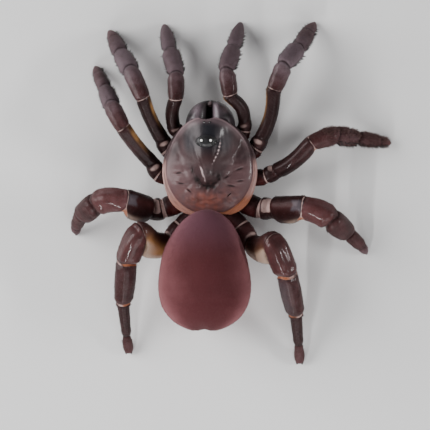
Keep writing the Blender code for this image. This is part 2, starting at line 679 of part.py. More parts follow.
def make_limb(name, kind, side, parent):
    """One leg or palp: coxa with trochanter, femur, patella, tibia, and the foot with its claws."""
    joints, ways = limb_chain(name, kind, side)
    segments = PALP_SEGMENTS if kind == "palp" else LEG_SEGMENTS
    parts = ("coxa",) + segments
    lengths = [(joints[1] - joints[0]).length / MM] + list(LENGTHS[kind])
    groups = [(0, 1), (2,), (3,), (4,), (5,) if kind == "palp" else (5, 6)]
    finishes = (BROWN_GLOSS, BLACK_GLOSS, BROWN_GLOSS, GREY_BROWN, GREY_BROWN)
    up = Vector((0.0, LEAN.get(name, 0.0), 1.0))
    for group, finish in zip(groups, finishes):
        first = group[0]
        last = group[-1]
        place = placing(joints[first], ways[first], up)
        home = place.inverted()
        shapes = []
        for number in group:
            part = parts[number]
            depth = DEPTH[part]
            bow = 0.0
            belly = 0.0
            if part == "femur":
                depth = DEEP_FEMUR.get(kind, depth)
                bow = FEMUR_BOW.get(name, STRAIGHT_BOW) * side
                belly = FEMUR_BELLY[kind]
            elif part == "patella":
                belly = -PATELLA_ARCH[kind]
            sides = SIDES if part in ("femur", "patella", "tibia") else END_SIDES
            shape = segment(lengths[number], WIDTHS[kind][number], depth, bow, belly, sides)
            shape.transform(placing(joints[number], ways[number], up))
            if part == "coxa":
                part_from_neighbours(shape, kind, side)
            shape.transform(home)
            shapes.append(shape)
        if last == len(segments) and kind != "palp":
            for claw in make_claws(joints[-1], POSE[name][-1][0], CLAW_LENGTH[kind]):
                claw.transform(home)
                shapes.append(claw)
        shape = union(shapes) if len(shapes) > 1 else shapes[0]
        turn = home.to_3x3()
        half_gap = 0.5 * GAP * MM
        back = ways[first] if first == 0 else (ways[first - 1] + ways[first]).normalized()
        cut(shape, home @ (joints[first] + back * half_gap), turn @ -back)
        if last < len(segments):
            on = (ways[last] + ways[last + 1]).normalized()
            cut(shape, home @ (joints[last + 1] - on * half_gap), turn @ on)
        else:
            cut(shape, home @ Vector((0.0, 0.0, 0.0)), turn @ Vector((0.0, 0.0, -1.0)))
        keep_largest(shape)
        label = "tarsus" if last == len(segments) else parts[first]
        node(name + "_" + label, shape, finish, parent, place)


def centre_over_floor(parent):
    """Move the spider so that the middle of its box stands over the origin."""
    bpy.context.view_layer.update()
    corners = []
    for thing in parent.children:
        corners += [thing.matrix_world @ vertex.co for vertex in thing.data.vertices]
    low = Vector([min(corner[axis] for corner in corners) for axis in range(3)])
    high = Vector([max(corner[axis] for corner in corners) for axis in range(3)])
    parent.location = (-0.5 * (low.x + high.x), -0.5 * (low.y + high.y), 0.0)
    bpy.context.view_layer.update()


def main():
    clear_scene()
    spider = bpy.data.objects.new("trapdoor_spider", None)
    bpy.context.scene.collection.objects.link(spider)
    make_carapace(spider)
    make_eyes(spider)
    make_sternum(spider)
    make_abdomen(spider)
    make_spinnerets(spider)
    for side, hand in ((-1, "left"), (1, "right")):
        make_chelicera(side, "chelicera_" + hand, spider)
        make_fang(side, "fang_" + hand, spider)
        for kind in COXA_ROOT:
            make_limb(kind + "_" + hand, kind, side, spider)
    centre_over_floor(spider)


main()
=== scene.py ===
"""Looks of the adult female trapdoor spider: skins, hairs, thorns and finishes on the fixed frame.

Sizes are in millimetres in the spider's own axes: +Y is ahead, +X is its right side and the floor is
at Z = 0. placed() moves them into the frame, in metres. Every skin is a grid of points, worked out as
whole arrays, whose columns wrap round and whose end rows are drawn to their middles. Its finish reads
named fields on the same grid. Hairs are small closed spikes, rooted at seeded places on a skin.
"""
import math

import bpy
import numpy as np
from mathutils import Matrix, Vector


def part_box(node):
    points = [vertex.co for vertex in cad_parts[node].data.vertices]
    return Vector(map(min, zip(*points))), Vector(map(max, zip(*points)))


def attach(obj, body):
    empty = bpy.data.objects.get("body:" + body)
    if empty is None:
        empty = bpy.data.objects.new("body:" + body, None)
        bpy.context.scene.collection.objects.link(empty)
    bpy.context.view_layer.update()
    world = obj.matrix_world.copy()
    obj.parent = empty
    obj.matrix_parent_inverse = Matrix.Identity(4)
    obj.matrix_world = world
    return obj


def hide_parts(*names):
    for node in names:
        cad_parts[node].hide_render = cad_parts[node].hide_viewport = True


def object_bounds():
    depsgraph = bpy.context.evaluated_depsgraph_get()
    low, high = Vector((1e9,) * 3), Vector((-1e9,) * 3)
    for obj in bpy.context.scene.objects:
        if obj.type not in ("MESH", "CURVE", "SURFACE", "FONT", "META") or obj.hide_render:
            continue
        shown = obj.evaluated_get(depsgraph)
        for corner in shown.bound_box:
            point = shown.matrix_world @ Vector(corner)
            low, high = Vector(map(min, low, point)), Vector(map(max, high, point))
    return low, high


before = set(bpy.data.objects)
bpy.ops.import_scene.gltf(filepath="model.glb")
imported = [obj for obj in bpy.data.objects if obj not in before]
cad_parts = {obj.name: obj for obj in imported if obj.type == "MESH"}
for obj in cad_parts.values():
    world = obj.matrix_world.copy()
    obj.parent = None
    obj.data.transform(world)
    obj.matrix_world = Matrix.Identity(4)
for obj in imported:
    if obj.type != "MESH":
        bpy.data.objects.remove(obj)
CAD_LOW, CAD_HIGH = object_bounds()

MM = 0.001
EDGE = 2e-6                     # how far every surface stays inside the frame's own box, in metres
TURN = 2.0 * math.pi
SEED = 20
BODY = "root"

# Prosoma
CARAPACE_HALF_WIDTH = 6.12
CARAPACE_WIDEST_Y = -0.7
CARAPACE_FRONT_LENGTH = 7.45
CARAPACE_REAR_LENGTH = 6.2
CARAPACE_FRONT_Y = 6.6
CARAPACE_REAR_Y = -6.6
CARAPACE_FLOOR = 4.4
RIM_THICKNESS = 0.45
THORAX_HEIGHT = 1.5
THORAX_POWER = 0.6
PLEURA_WIDTH = 0.6
PLEURA_REAR_WIDTH = 0.8
PLEURA_REAR_BEARING = 145.0
PLEURA_REAR_SPREAD = 25.0
CLYPEUS_START_Y = 3.4
CLYPEUS_BEND = 1.4              # how gently the slope sets in
CLYPEUS_SLOPE = 0.4
CAPUT_FRONT_Y = 7.9
CAPUT_CREST_Y = 2.4
CAPUT_REAR_Y = -4.0
CAPUT_HEIGHT = 2.3
CAPUT_FRONT_POWERS = (2.4, 0.7)
CAPUT_REAR_POWER = 1.5
CAPUT_FRONT_HALF_WIDTH = 6.0
CAPUT_REAR_HALF_WIDTH = 3.2
HUMP_TOP = 0.4                  # shares of the way down each side over which the slope begins
HUMP_FOOT = 0.25                # and over which it ends
FOVEA_Y = -3.1
FOVEA_CURVE = 0.45
FOVEA_REACH = 1.9
FOVEA_WAVES = ((0.12, 3.1, 1.0), (0.07, 7.3, 0.0))  # height, rate and start of its line's wavering
FOVEA_WIDTH = 0.475
FOVEA_DEPTH = 0.425
FURROW_DEPTH = 0.121
FURROW_BEARINGS = (62.0, 92.0, 128.0)
FURROW_WIDTH = 7.0
FURROW_REACH = 0.62
FURROW_SPAN = 0.2
NOTCH_DEPTH = 0.32              # how far the front margin draws back in its middle
NOTCH_X = -0.17
NOTCH_HALF_WIDTH = 1.05

# Two ridges that close on the fovea, each a line of y and of x, where they stand, and where a highlight is
# painted along them
RIDGE_HEIGHT = 0.11
RIDGE_WIDTH = 0.24
LEFT_RIDGE = ((-2.4, -0.94, 0.05, 2.1), (-0.33, -0.62, -0.93, -1.65))
RIGHT_RIDGE = ((-2.2, 0.3, 1.7, 3.4), (0.55, 0.98, 1.66, 1.95))
LEFT_SPAN = (-2.3, 2.3, 0.6)    # from y, to y, softness of both ends
RIGHT_SPAN = (-2.0, 3.5, 0.6)
# Spans of the painted highlight: a streak on the left ridge, beads on the right one
LEFT_HIGHLIGHT_SPAN = (-2.2, 0.1, 0.35)
RIGHT_HIGHLIGHT_SPAN = (0.1, 3.1, 0.2)
BEAD_HEIGHT = 0.28              # beads on the right ridge, as a share of its height
BEAD_RATE = 9.5

# Short side pits: x, y, bearing and size, then the half length, half width and depth at size 1
SIDE_PITS = ((-4.17, -1.12, 85.0, 1.0), (-3.88, -2.59, 100.0, 1.0), (-2.15, -0.85, 5.0, 0.9),
             (4.3, -0.6, 72.0, 1.1), (4.44, -2.24, 84.0, 0.9), (3.17, -2.94, 98.0, 1.2),
             (2.6, -1.7, 60.0, 0.8), (-2.7, -3.6, 130.0, 0.8), (2.9, -4.2, 50.0, 0.8))
PIT_HALF_LENGTH = 0.55
PIT_HALF_WIDTH = 0.12
PIT_DEPTH = 0.13
LIP_OFFSET = 0.27               # lips along both long sides of a pit
LIP_HALF_WIDTH = 0.1
LIP_HEIGHT = 0.035

# Fine relief of the shell, in millimetres
FOLD_HEIGHT = 0.035             # fan of folds between the furrows
FOLD_RATE = 0.42
REAR_HALF = (3.4, 1.0)          # half width and half length of the lumpy hind part
REAR_Y = -5.1
REAR_LUMPS = 0.17
REAR_LINES = 0.02
WRINKLES = (0.04, 0.02)         # broad and narrow
MARGIN_BEAD = 0.03
CREASES = 0.05                  # of the soft side wall

# Dark spots on the shell: centre x, half width, centre y, half length and strength
FOVEA_SPOTS = ((-1.45, 0.55, -2.05, 0.55, 1.0), (1.7, 0.45, -1.8, 0.5, 1.0), (0.15, 1.0, -3.1, 0.5, 0.9),
               (-2.05, 0.25, -0.8, 0.5, 0.7), (0.5, 0.95, -1.6, 1.4, 0.65))
EYE_SPOT = (-1.7, 0.25, 3.6, 0.35, 0.7)

# Side wall from the margin down and in: share of its width outwards, and level over the underside.
# Then the underside's rings as shares of the margin
PLEURA_PROFILE = ((0.08, 0.30), (0.22, 0.36), (0.36, 0.28), (0.48, 0.27), (0.6, 0.33), (0.72, 0.24),
                  (0.84, 0.2), (0.94, 0.16), (1.0, 0.02), (1.0, -0.12), (0.9, -0.3), (0.6, -0.4),
                  (0.3, -0.3), (0.2, -0.5))
UNDERSIDE_SHARES = (0.93, 0.8, 0.5, 0.2, 0.05)
UNDERSIDE_SINK = 0.3

# Eyes: centre x, centre y, radius and strength of the painted glint of each lens of one side
EYE_MOUND_Y = 3.2
EYE_MOUND_HALF = (1.55, 0.85)
EYE_MOUND_HEIGHT = 0.46
EYE_MOUND_LIFT = 0.04
LENSES = ((0.65, 3.32, 0.36, 1.0), (1.25, 3.0, 0.22, 0.05), (0.75, 2.68, 0.16, 0.05),
          (0.42, 5.85, 0.16, 0.0))
LENS_SHIFT = 0.07               # the group sits this far to the right of the middle
LENS_SINK = 0.4                 # how deep a lens's centre lies, as a share of its radius
# The glint on a lens is painted, as a pale cap that glows
GLINT_FROM = (0.93, 0.99)       # heights on a lens, as shares of its radius, where its glint sets in

# Underside
STERNUM_CENTRE_Y = -2.3
STERNUM_HALF = (3.2, 4.6)
STERNUM_BOTTOM = 1.5
STERNUM_TOP = 3.6
STERNUM_RISE = 0.9              # how far its edge turns up
LABIUM_CENTRE = (0.0, 2.35, 2.4)
LABIUM_HALF = (0.75, 0.95, 0.8)
PEDICEL_FACE_Y = -6.55
PEDICEL_RADIUS = 0.8
PEDICEL_STEM = ((0.4, 3.1), (-1.0, 3.1), (-2.0, 3.4), (-2.7, 4.8), (-3.6, 6.4))  # y from its face, z
SIDE_WALL = ((0.0, -1.2, 3.6), (5.1, 5.6, 1.25))
SIDE_WALL_WAVES = (0.05, 14.0)  # height and rate

# Chelicera and fang of the right side
CHELICERA_WIDEST_Y = 5.4
CHELICERA_REACH = 3.65
CHELICERA_OUTER_X = 3.5
CHELICERA_CENTRE_Z = 3.75
CHELICERA_HALF_HEIGHT = 2.1
CHELICERA_BOTTOM = 2.0
CHELICERA_POWERS = (2.1, 2.8)   # how square it is seen from above and from the side
CHELICERA_VALLEY = 0.35
CHELICERA_CLEARANCE = 0.12      # below the shell's underside
JAW_GAP = 0.04                  # half the slit between the soft inner sides
# Painted grey sheen on top of each chelicera, placed differently on the left and right ones
JAW_SHEEN = {"left": (1.85, 0.7, 0.0), "right": (0.95, 0.4, 0.3)}   # middle x, half width, rest
ROSTRUM = ((0.0, 6.1, 3.3), (0.5, 2.75, 0.95))
JAW_KNOB = ((0.05, 8.5, 3.95), (0.66, 0.45, 0.8))
FANG_PATH = ((1.5, 8.05, 1.95), (1.55, 7.75, 1.25), (1.55, 6.9, 0.95), (1.5, 5.8, 0.92),
             (1.4, 4.6, 1.25))
FANG_RADII = (0.6, 0.56, 0.45, 0.3, 0.06)

# Abdomen
ABDOMEN_FRONT_Y = -6.25
ABDOMEN_LENGTH = 17.0
ABDOMEN_HALF_WIDTH = 6.47
ABDOMEN_HALF_HEIGHT = 5.35
ABDOMEN_WIDEST = 0.617
ABDOMEN_FRONT_POWER = 1.8
ABDOMEN_REAR_POWER = 2.4
ABDOMEN_FRONT_Z = 7.45
ABDOMEN_REAR_Z = 6.4
ABDOMEN_SHIFT_X = -0.48
ABDOMEN_NOTCH = 0.35
MUSCLE_PITS = ((1.5, -11.0), (1.9, -14.2), (1.8, -17.2))    # x from the middle line, and y
MUSCLE_PIT_RADIUS = 0.42
LUNG_PLATES = ((2.3, -9.4), (2.9, -12.4))
LUNG_HALF = (1.5, 1.0)
GENITAL_FOLD_Y = -10.7
SPINNERET_SEAT = (-0.48, -21.35, 2.75)
SPINNERET_LENGTH = 1.7
SPINNERET_RADIUS = 0.33
SPINNERET_SHARES = (-0.2, 0.1, 0.36, 0.44, 0.62, 0.72, 0.88, 1.04)
SPINNERET_GIRTHS = (1.0, 1.08, 1.0, 0.8, 0.97, 0.72, 0.78, 0.3)
SHORT_PAIR_REACH = (0.1, 0.6, 0.95, 1.15)
SHORT_PAIR_RADII = (0.17, 0.17, 0.14, 0.07)

# Limbs: joints at the coxa's root and end, right side
COXA_ROOT = {"palp": (1.35, 1.5, 2.7), "leg_1": (2.2, 0.1, 2.7), "leg_2": (2.75, -2.0, 2.7),
             "leg_3": (2.65, -4.4, 2.52), "leg_4": (1.8, -6.1, 2.7)}
COXA_END = {"palp": (4.5, 4.4, 3.0), "leg_1": (6.2, 2.2, 2.95), "leg_2": (7.45, -1.4, 2.95),
            "leg_3": (6.75, -6.1, 2.75), "leg_4": (4.3, -8.5, 3.1)}
COXA_SWING = {"leg_2_left": 0.15, "leg_2_right": -0.3}      # how much further ahead that end lies
LEG_PARTS = ("coxa", "trochanter", "femur", "patella", "tibia", "metatarsus", "tarsus")
PALP_PARTS = ("coxa", "trochanter", "femur", "patella", "tibia", "tarsus")
NODES = ("coxa", "femur", "patella", "tibia", "tarsus")     # nodes of the frame on each limb

# Length of each segment from the trochanter out
LENGTHS = {"palp": (1.35, 4.6, 3.95, 4.3, 4.15),
           "leg_1": (1.65, 7.2, 4.4, 3.75, 3.05, 1.65),
           "leg_2": (1.8, 7.1, 3.65, 3.5, 3.25, 1.45),
           "leg_3": (1.8, 5.5, 4.95, 3.75, 3.0, 1.1),
           "leg_4": (3.1, 6.3, 5.3, 6.5, 5.55, 1.75)}

# Width of each segment at its start, middle and end, the coxa first. A curve of the second degree
# runs through the three
WIDTHS = {"palp": ((1.5, 2.0, 2.1), (2.0, 2.1, 1.95), (1.95, 1.85, 2.0), (2.05, 2.27, 2.05),
                   (2.05, 2.42, 1.65), (1.75, 1.85, 0.85)),
          "leg_1": ((1.8, 2.4, 2.4), (2.3, 2.35, 2.2), (2.15, 1.92, 2.1), (2.15, 2.37, 2.3),
                    (2.3, 2.55, 1.9), (1.95, 2.15, 1.75), (1.7, 1.5, 1.0)),
          "leg_2": ((2.0, 2.6, 2.5), (2.3, 2.4, 2.2), (2.15, 2.05, 2.15), (2.1, 2.35, 2.25),
                    (2.2, 2.3, 1.8), (1.65, 1.8, 1.5), (1.45, 1.35, 1.0)),
          "leg_3": ((2.9, 3.3, 3.2), (3.2, 3.15, 2.75), (2.7, 3.05, 2.8), (2.95, 3.3, 3.1),
                    (2.9, 2.95, 2.05), (1.85, 1.8, 1.5), (1.4, 1.3, 1.0)),
          "leg_4": ((1.9, 2.4, 2.45), (2.45, 2.75, 2.55), (2.5, 3.0, 2.85), (3.05, 3.35, 2.9),
                    (2.65, 2.8, 2.1), (1.65, 1.43, 1.15), (1.25, 1.4, 1.25))}

# Depth from above to below as a share of the width. Then how far a femur bows outwards, how far it
# bulges below and a patella arches up, and how far a limb's upright leans ahead
DEPTH = {"coxa": 0.8, "trochanter": 1.0, "femur": 1.12, "patella": 1.0, "tibia": 1.05,
         "metatarsus": 1.0, "tarsus": 0.95}
DEEP_FEMUR = {"leg_3": 1.33, "leg_4": 1.33}
FEMUR_BOW = {"palp_left": 0.4, "palp_right": 0.65, "leg_1_left": 0.3, "leg_1_right": 0.5,
             "leg_2_left": 0.2, "leg_2_right": 0.6}
STRAIGHT_BOW = 0.1
FEMUR_BELLY = {"palp": 0.1, "leg_1": 0.1, "leg_2": 0.1, "leg_3": 0.2, "leg_4": 1.0}
PATELLA_ARCH = {"palp": 0.05, "leg_1": 0.1, "leg_2": 0.15, "leg_3": 0.6, "leg_4": 0.15}
LEAN = {"leg_2_right": 1.0, "leg_3_left": 1.2, "leg_3_right": 1.2, "leg_4_left": 1.2,
        "leg_4_right": 1.2}

# Bearing and pitch in degrees of each segment from the trochanter out. The one that stands has the
# pitch with which the foot just reaches the floor
STANDS = None
POSE = {
    "palp_left": ((-35, 22), (10, 34), (-2, -20), (-19, STANDS), (-18, -40)),
    "palp_right": ((14, 19), (-25, 24), (-8, 3), (13, STANDS), (10, -42)),
    "leg_1_left": ((-25, 9), (-21, 31), (-27, -21), (-34, -30), (-31, STANDS), (-36, -44)),
    "leg_1_right": ((31, 12), (17, 17), (23, 4), (38, -33), (25, STANDS), (29, -49)),
    "leg_2_left": ((-29, 11), (-36, 30), (-30, -19), (-28, -36), (-31, STANDS), (-31, -49)),
    "leg_2_right": ((66, 12), (53.5, 20), (72, -20), (98, -35), (97, STANDS), (97, -46)),
    "leg_3_left": ((-97, 9), (-67, 54), (-98, -14), (-124, -45), (-145, STANDS), (-174, -58)),
    "leg_3_right": ((90, 12), (89, 36), (113, -8), (132, -49), (136, STANDS), (149, -47)),
    "leg_4_left": ((-146, 2), (-62, 55), (-152, -24), (-172, -22), (178, STANDS), (177, -34)),
    "leg_4_right": ((151, 6), (82, 56), (158, -16), (171, -29), (178, STANDS), (180, -31)),
}
FLAT_DEPTH = 0.12               # how much of the foot's tip the floor cuts off
ROOT_DOME = (78.0, 60.0, 42.0, 24.0)                        # rings of the rounded ends, in degrees
TIP_DOME = (0.0, 14.0, 28.0, 42.0, 56.0, 68.0, 78.0, 86.0)
BLUNT_TIP = {"leg_4": 0.8}
CLAW_LENGTH = {"leg_1": 0.6, "leg_2": 0.6, "leg_3": 0.65, "leg_4": 0.65}
CLAW_SPREAD = 9.0
CLAW_PITCH = -4.0
CLAW_APART = {"leg_1": 0.0, "leg_2": 0.0, "leg_3": 0.0, "leg_4": 0.28}
CLAW_SHARES = (0.0, 0.35, 0.7, 0.99)
CLAW_RADII = (0.2, 0.17, 0.11, 0.04)
CLAW_ARCH = 0.1
STOUT_CLAWS = {"leg_4": 1.6}

# Grey down, brown tone and hair of each segment, from 0 to 1, as a pair where start and end differ
DOWN = {"palp": (0.0, 0.0, (0.0, 0.05), (0.1, 0.55), (0.75, 0.85), (1.0, 0.85)),
        "leg_1": (0.0, 0.0, (0.0, 0.05), (0.1, 0.75), (1.0, 0.95), (0.75, 0.5), (0.6, 0.5)),
        "leg_2": (0.0, 0.0, (0.0, 0.12), (0.1, 0.7), (0.9, 0.85), (0.65, 0.4), (0.5, 0.45)),
        "leg_3": (0.1, 0.0, 0.0, (0.2, 0.12), (0.12, 0.1), (0.1, 0.2), (0.45, 0.6)),
        "leg_4": (0.1, (0.0, 0.05), 0.0, 0.0, (0.2, 0.1), 0.08, (0.2, 0.25))}
BROWN = {"palp": (0.2, 0.2, (0.05, 0.15), (0.3, 0.5), (0.5, 0.6), (0.6, 0.8)),
         "leg_1": (0.2, 0.2, (0.05, 0.12), (0.35, 0.5), 0.5, (0.4, 0.5), (0.5, 0.8)),
         "leg_2": (0.2, 0.2, (0.1, 0.3), (0.45, 0.6), (0.6, 0.5), (0.45, 0.5), (0.5, 0.8)),
         "leg_3": (0.3, 0.3, (0.1, 0.2), (0.75, 0.65), 0.4, (0.45, 0.5), (0.6, 0.8)),
         "leg_4": (0.25, 0.4, (0.3, 0.4), 0.5, (0.4, 0.35), 0.25, (0.5, 0.6))}
HAIR = {"palp": (0.1, 0.1, (0.1, 0.2), (0.2, 0.4), (0.8, 0.9), 1.0),
        "leg_1": (0.1, 0.1, (0.1, 0.2), (0.2, 0.4), (0.7, 0.8), 1.0, 1.0),
        "leg_2": (0.1, 0.1, (0.1, 0.2), (0.3, 0.8), 0.9, 1.0, 1.0),
        "leg_3": (0.1, 0.1, (0.1, 0.15), 0.3, (0.6, 0.7), 0.9, 1.0),
        "leg_4": (0.1, 0.1, 0.15, 0.12, 0.5, (0.6, 0.7), 1.0)}

# At each joint from the coxa out: how pale the membrane shows, how deep the neck is, how far its line
# lies beyond the bend, how far it bows outwards above, and the membrane's half width above and what
# it gains below
PALE = {"palp": (0.8, 0.1, 0.8, 0.0, 0.35), "leg_1": (0.8, 0.1, 0.7, 0.0, 0.0, 0.0),
        "leg_2": (0.8, 0.1, 0.7, 0.0, 0.0, 0.0), "leg_3": (1.0, 0.2, 0.85, 0.3, 0.15, 0.0),
        "leg_4": (0.9, 0.3, 0.5, 0.8, 0.8, 0.0)}
NECK = {"palp": (0.08, 0.05, 0.07, 0.15, 0.3), "leg_1": (0.08, 0.05, 0.06, 0.17, 0.27, 0.05),
        "leg_2": (0.08, 0.05, 0.06, 0.15, 0.23, 0.06), "leg_3": (0.1, 0.08, 0.05, 0.2, 0.2, 0.16),
        "leg_4": (0.08, 0.08, 0.04, 0.2, 0.16, 0.22)}
JOINT_SHIFT = {"palp_left": (0.3, 0.3, 0.0, -0.45, -0.55), "palp_right": (0.6, 0.6, 0.4, -0.35, -0.45),
               "leg_1_left": (0.0, 0.0, -0.15, 0.0, 0.0, 0.0),
               "leg_1_right": (0.35, 0.35, 0.5, -0.55, -0.6, -0.4),
               "leg_2_left": (0.0, 0.0, -0.1, 0.0, 0.0, 0.0),
               "leg_2_right": (0.4, 0.5, 0.1, 0.0, 0.0, 0.0),
               "leg_3_left": (0.0, 0.3, 0.0, -0.9, -0.6, -0.3),
               "leg_3_right": (0.3, 0.9, 0.5, -0.75, 0.0, 0.0),
               "leg_4_left": (0.0, 0.0, 0.0, -0.5, -0.5, -0.7),
               "leg_4_right": (0.0, 0.0, 0.0, -0.5, -0.5, -0.9)}
BOWED = (0.0, 0.0, -0.12, 0.34, 0.2, 0.0)
MEMBRANE = (0.13, 0.05, 0.055, 0.07, 0.07, 0.05)
MEMBRANE_BELOW = (0.1, 0.12, 0.75, 0.45, 0.3, 0.08)
MEMBRANE_WIDE = {("leg_3", 0): 2.0, ("leg_4", 3): 3.2, ("leg_4", 4): 2.4}
MEMBRANE_DEEP = {"leg_3": 1.7}
SHAGGY_LIMB = "leg_2_right"

# Roundness of a segment's rings (2 is an oval, more is squarer), its gloss, and the height of its two
# upper ridges
SQUARENESS = {"coxa": 2.0, "trochanter": 2.0, "femur": 2.15, "patella": 2.4, "tibia": 2.25,
              "metatarsus": 2.1, "tarsus": 2.1}
GLOSS = {"palp": (0.2, 0.2, 0.25, 0.6, 0.2, 0.1), "leg_1": (0.2, 0.2, 0.25, 0.6, 0.15, 0.1, 0.1),
         "leg_2": (0.2, 0.2, 0.5, 0.5, 0.2, 0.15, 0.1), "leg_3": (0.3, 0.3, 0.15, 0.6, 0.4, 0.3, 0.15),
         "leg_4": (0.3, 0.3, 0.5, 0.95, 0.55, 0.4, 0.2)}
RIDGED = {("leg_3", "patella"): 0.035, ("leg_4", "patella"): 0.05, ("leg_4", "tibia"): 0.035,
          ("leg_3", "tibia"): 0.02, ("leg_2", "femur"): 0.03, ("leg_2", "patella"): 0.02,
          ("leg_1", "femur"): 0.02}

# Pale spot on top of each trochanter: its middle and half length as shares of the segment, its strength
TROCHANTER_PATCH = {"palp": (0.66, 0.28, 0.42), "leg_1": (0.66, 0.32, 0.52), "leg_2": (0.68, 0.34, 0.5),
                    "leg_3": (0.76, 0.42, 0.8), "leg_4": (0.72, 0.28, 0.6)}

# Fields that a limb's skin and its hairs both carry
MARKS = ("down", "brown", "red", "amber", "cream", "lilac", "flesh", "orange", "groove")

RING_STEP = 0.12                # mean distance between the rings of a limb's skin
END_CROWDING = 0.7              # rings stand closer by this share at the joints
LIMB_COLUMNS = 56
KNEE_REACH = 2.3                # how far the arc of leg IV's knee reaches to both sides
KNEE_SWELL = 0.3                # how much that knee swells above
KNEE_FOLD = 0.5                 # how much it draws in below
NECK_SLOPES = ((0.65, 0.15), (0.35, 0.42))  # share and reach of the two slopes that make a neck
RIM_SWELL = 0.25                # how much a segment swells beside a neck, as a share of its depth
RIM_OFFSET = 0.75
LIMB_WAVES = 0.025

# Hairs: how many on one skin, radius, shortest and longest, and how deep their roots lie
LIMB_HAIRS = (15000, 0.013, 0.16, 0.36, 0.02)
BRISTLES = (260, 0.018, 0.32, 0.6, 0.03)
FRINGE = (3000, 0.028, 0.15, 0.5, 0.03)
VELVET = (44000, 0.013, 0.16, 0.34, 0.03)
THORN_RADIUS = 0.08
THORN_LENGTHS = (0.36, 0.58)
THORN_SINK = 0.06
THORN_ANGLES = (-4.0, -24.0, -46.0, 184.0, 204.0, 226.0)    # rows round a segment, in degrees
THORNS_PER_MM = 2.6
HAIR_PATCH = 0.0015             # half the width of a hair's patch on the OFBake map

# Camera: above the spider and tipped to its right. The view is VIEW_WIDTH wide at VIEW_LEVEL
VIEW_TILT = 7.0
VIEW_WIDTH = 60.2
VIEW_DISTANCE = 400.0
VIEW_CENTRE = (215.0, 215.0)    # middle of the photo in its own pixels
VIEW_ORIGIN = (213.6, 165.0)    # where the body's origin lies in the photo, in pixels
VIEW_LEVEL = 4.0
PHOTO_WIDTH = 430.0
SENSOR = 36.0

# Stage: each light with its place, its two sizes and its power, all aimed at one target
FLOOR_HALF = 900.0
FLOOR_GAP = 0.02                # how far the floor lies below the feet
LIGHT_TARGET = (0.0, -5.0, 3.0)
LIGHTS = (("window_left", (-265.0, 60.0, 150.0), 300.0, 300.0, 1.45),
          ("strip_left", (-70.0, -235.0, 140.0), 8.0, 200.0, 0.36),
          ("strip_right", (225.0, 0.0, 110.0), 8.0, 110.0, 0.24),
          ("fill_rear", (110.0, -230.0, 140.0), 220.0, 220.0, 0.35))
SURROUND = (0.95, 0.96, 1.0, 1.0)
SURROUND_STRENGTH = 0.12


def tint(red, green, blue):
    """A display colour from 0 to 255 as linear values: ((c + 0.055) / 1.055) to the power 2.4."""
    shares = np.array((red, green, blue)) / 255.0
    linear = np.where(shares > 0.04045, ((shares + 0.055) / 1.055) ** 2.4, shares / 12.92)
    return (*linear.tolist(), 1.0)


def unit(vectors):
    """Vectors divided by their lengths."""
    return vectors / np.maximum(np.linalg.norm(vectors, axis=-1, keepdims=True), 1e-12)


def ease(values, low, high):
    """A smooth step from 0 at low to 1 at high, 3t^2 - 2t^3."""
    share = np.clip((np.asarray(values) - low) / (high - low), 0.0, 1.0)
    return share * share * (3.0 - 2.0 * share)


def bell(values, centre, width):
    """A smooth bump of height 1, exp(-((v - centre) / width)^2)."""
    return np.exp(-((values - centre) / width) ** 2)


def fall(share):
    """A cosine slope from 1 at share 0 to 0 at share 1 and beyond."""
    return 0.5 + 0.5 * np.cos(math.pi * np.clip(share, 0.0, 1.0))


def ripple(points, size, number):
    """A smooth random field: the mean of seven plane waves whose lengths lie near a size."""
    draw = np.random.default_rng(SEED + number)
    ways = unit(draw.normal(size=(7, 3))) * (TURN / size) * draw.uniform(0.6, 1.5, (7, 1))
    return np.sin(points @ ways.T + draw.uniform(0.0, TURN, 7)).mean(-1)


carapace_low, carapace_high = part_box("carapace")
FRAME_SHIFT = np.array((0.5 * (carapace_low.x + carapace_high.x) / MM,
                        carapace_high.y / MM - CARAPACE_FRONT_Y, 0.0))


def placed(points):
    """Millimetres in the spider's axes as metres in the frame."""
    return (points + FRAME_SHIFT) * MM


def raw_mesh(name, points, faces, inside=True):
    """A mesh object from points and arrays of faces, each array with one number of corners."""
    places = placed(points)
    if inside:
        places = np.clip(places, np.array(CAD_LOW) + (EDGE, EDGE, 0.0), np.array(CAD_HIGH) - EDGE)
    corners = np.concatenate([group.ravel() for group in faces]).astype(np.int32)
    counts = np.concatenate([np.full(len(group), group.shape[1]) for group in faces])
    starts = np.concatenate([[0], np.cumsum(counts)[:-1]]).astype(np.int32)
    mesh = bpy.data.meshes.new(name)
    mesh.vertices.add(len(points))
    mesh.vertices.foreach_set("co", places.astype(np.float32).ravel())
    mesh.loops.add(len(corners))
    mesh.loops.foreach_set("vertex_index", corners)
    mesh.polygons.add(len(counts))
    mesh.polygons.foreach_set("loop_start", starts)
    mesh.update(calc_edges=True)
    mesh.polygons.foreach_set("use_smooth", np.ones(len(counts), dtype=bool))
    thing = bpy.data.objects.new(name, mesh)
    bpy.context.scene.collection.objects.link(thing)
    return thing


def add_field(thing, name, values):
    """One number for each point of a mesh, for its material to read."""
    field = thing.data.attributes.new(name, "FLOAT", "POINT")
    field.data.foreach_set("value", np.asarray(values, dtype=np.float32).ravel())


def outward(points, faces):
    """Faces turned over where the volume inside a closed surface comes out below zero."""
    volume = 0.0
    for group in faces:
        for number in range(1, group.shape[1] - 1):
            first, second, third = (points[group[:, k]] for k in (0, number, number + 1))
            volume += np.einsum("ij,ij->", first, np.cross(second, third))
    return faces if volume > 0.0 else [group[:, ::-1] for group in faces]


def grid_faces(rows, columns, start=0):
    """Quads of a wrapped grid, and triangles from each end row to a pole after the grid's points."""
    index = start + np.arange(rows * columns).reshape(rows, columns)
    after = np.roll(index, -1, axis=1)
    quads = np.stack((index[:-1], after[:-1], after[1:], index[1:]), -1).reshape(-1, 4)
    first = start + rows * columns
    low = np.stack((after[0], index[0], np.full(columns, first)), -1)
    high = np.stack((index[-1], after[-1], np.full(columns, first + 1)), -1)
    return [quads, np.concatenate((low, high))]


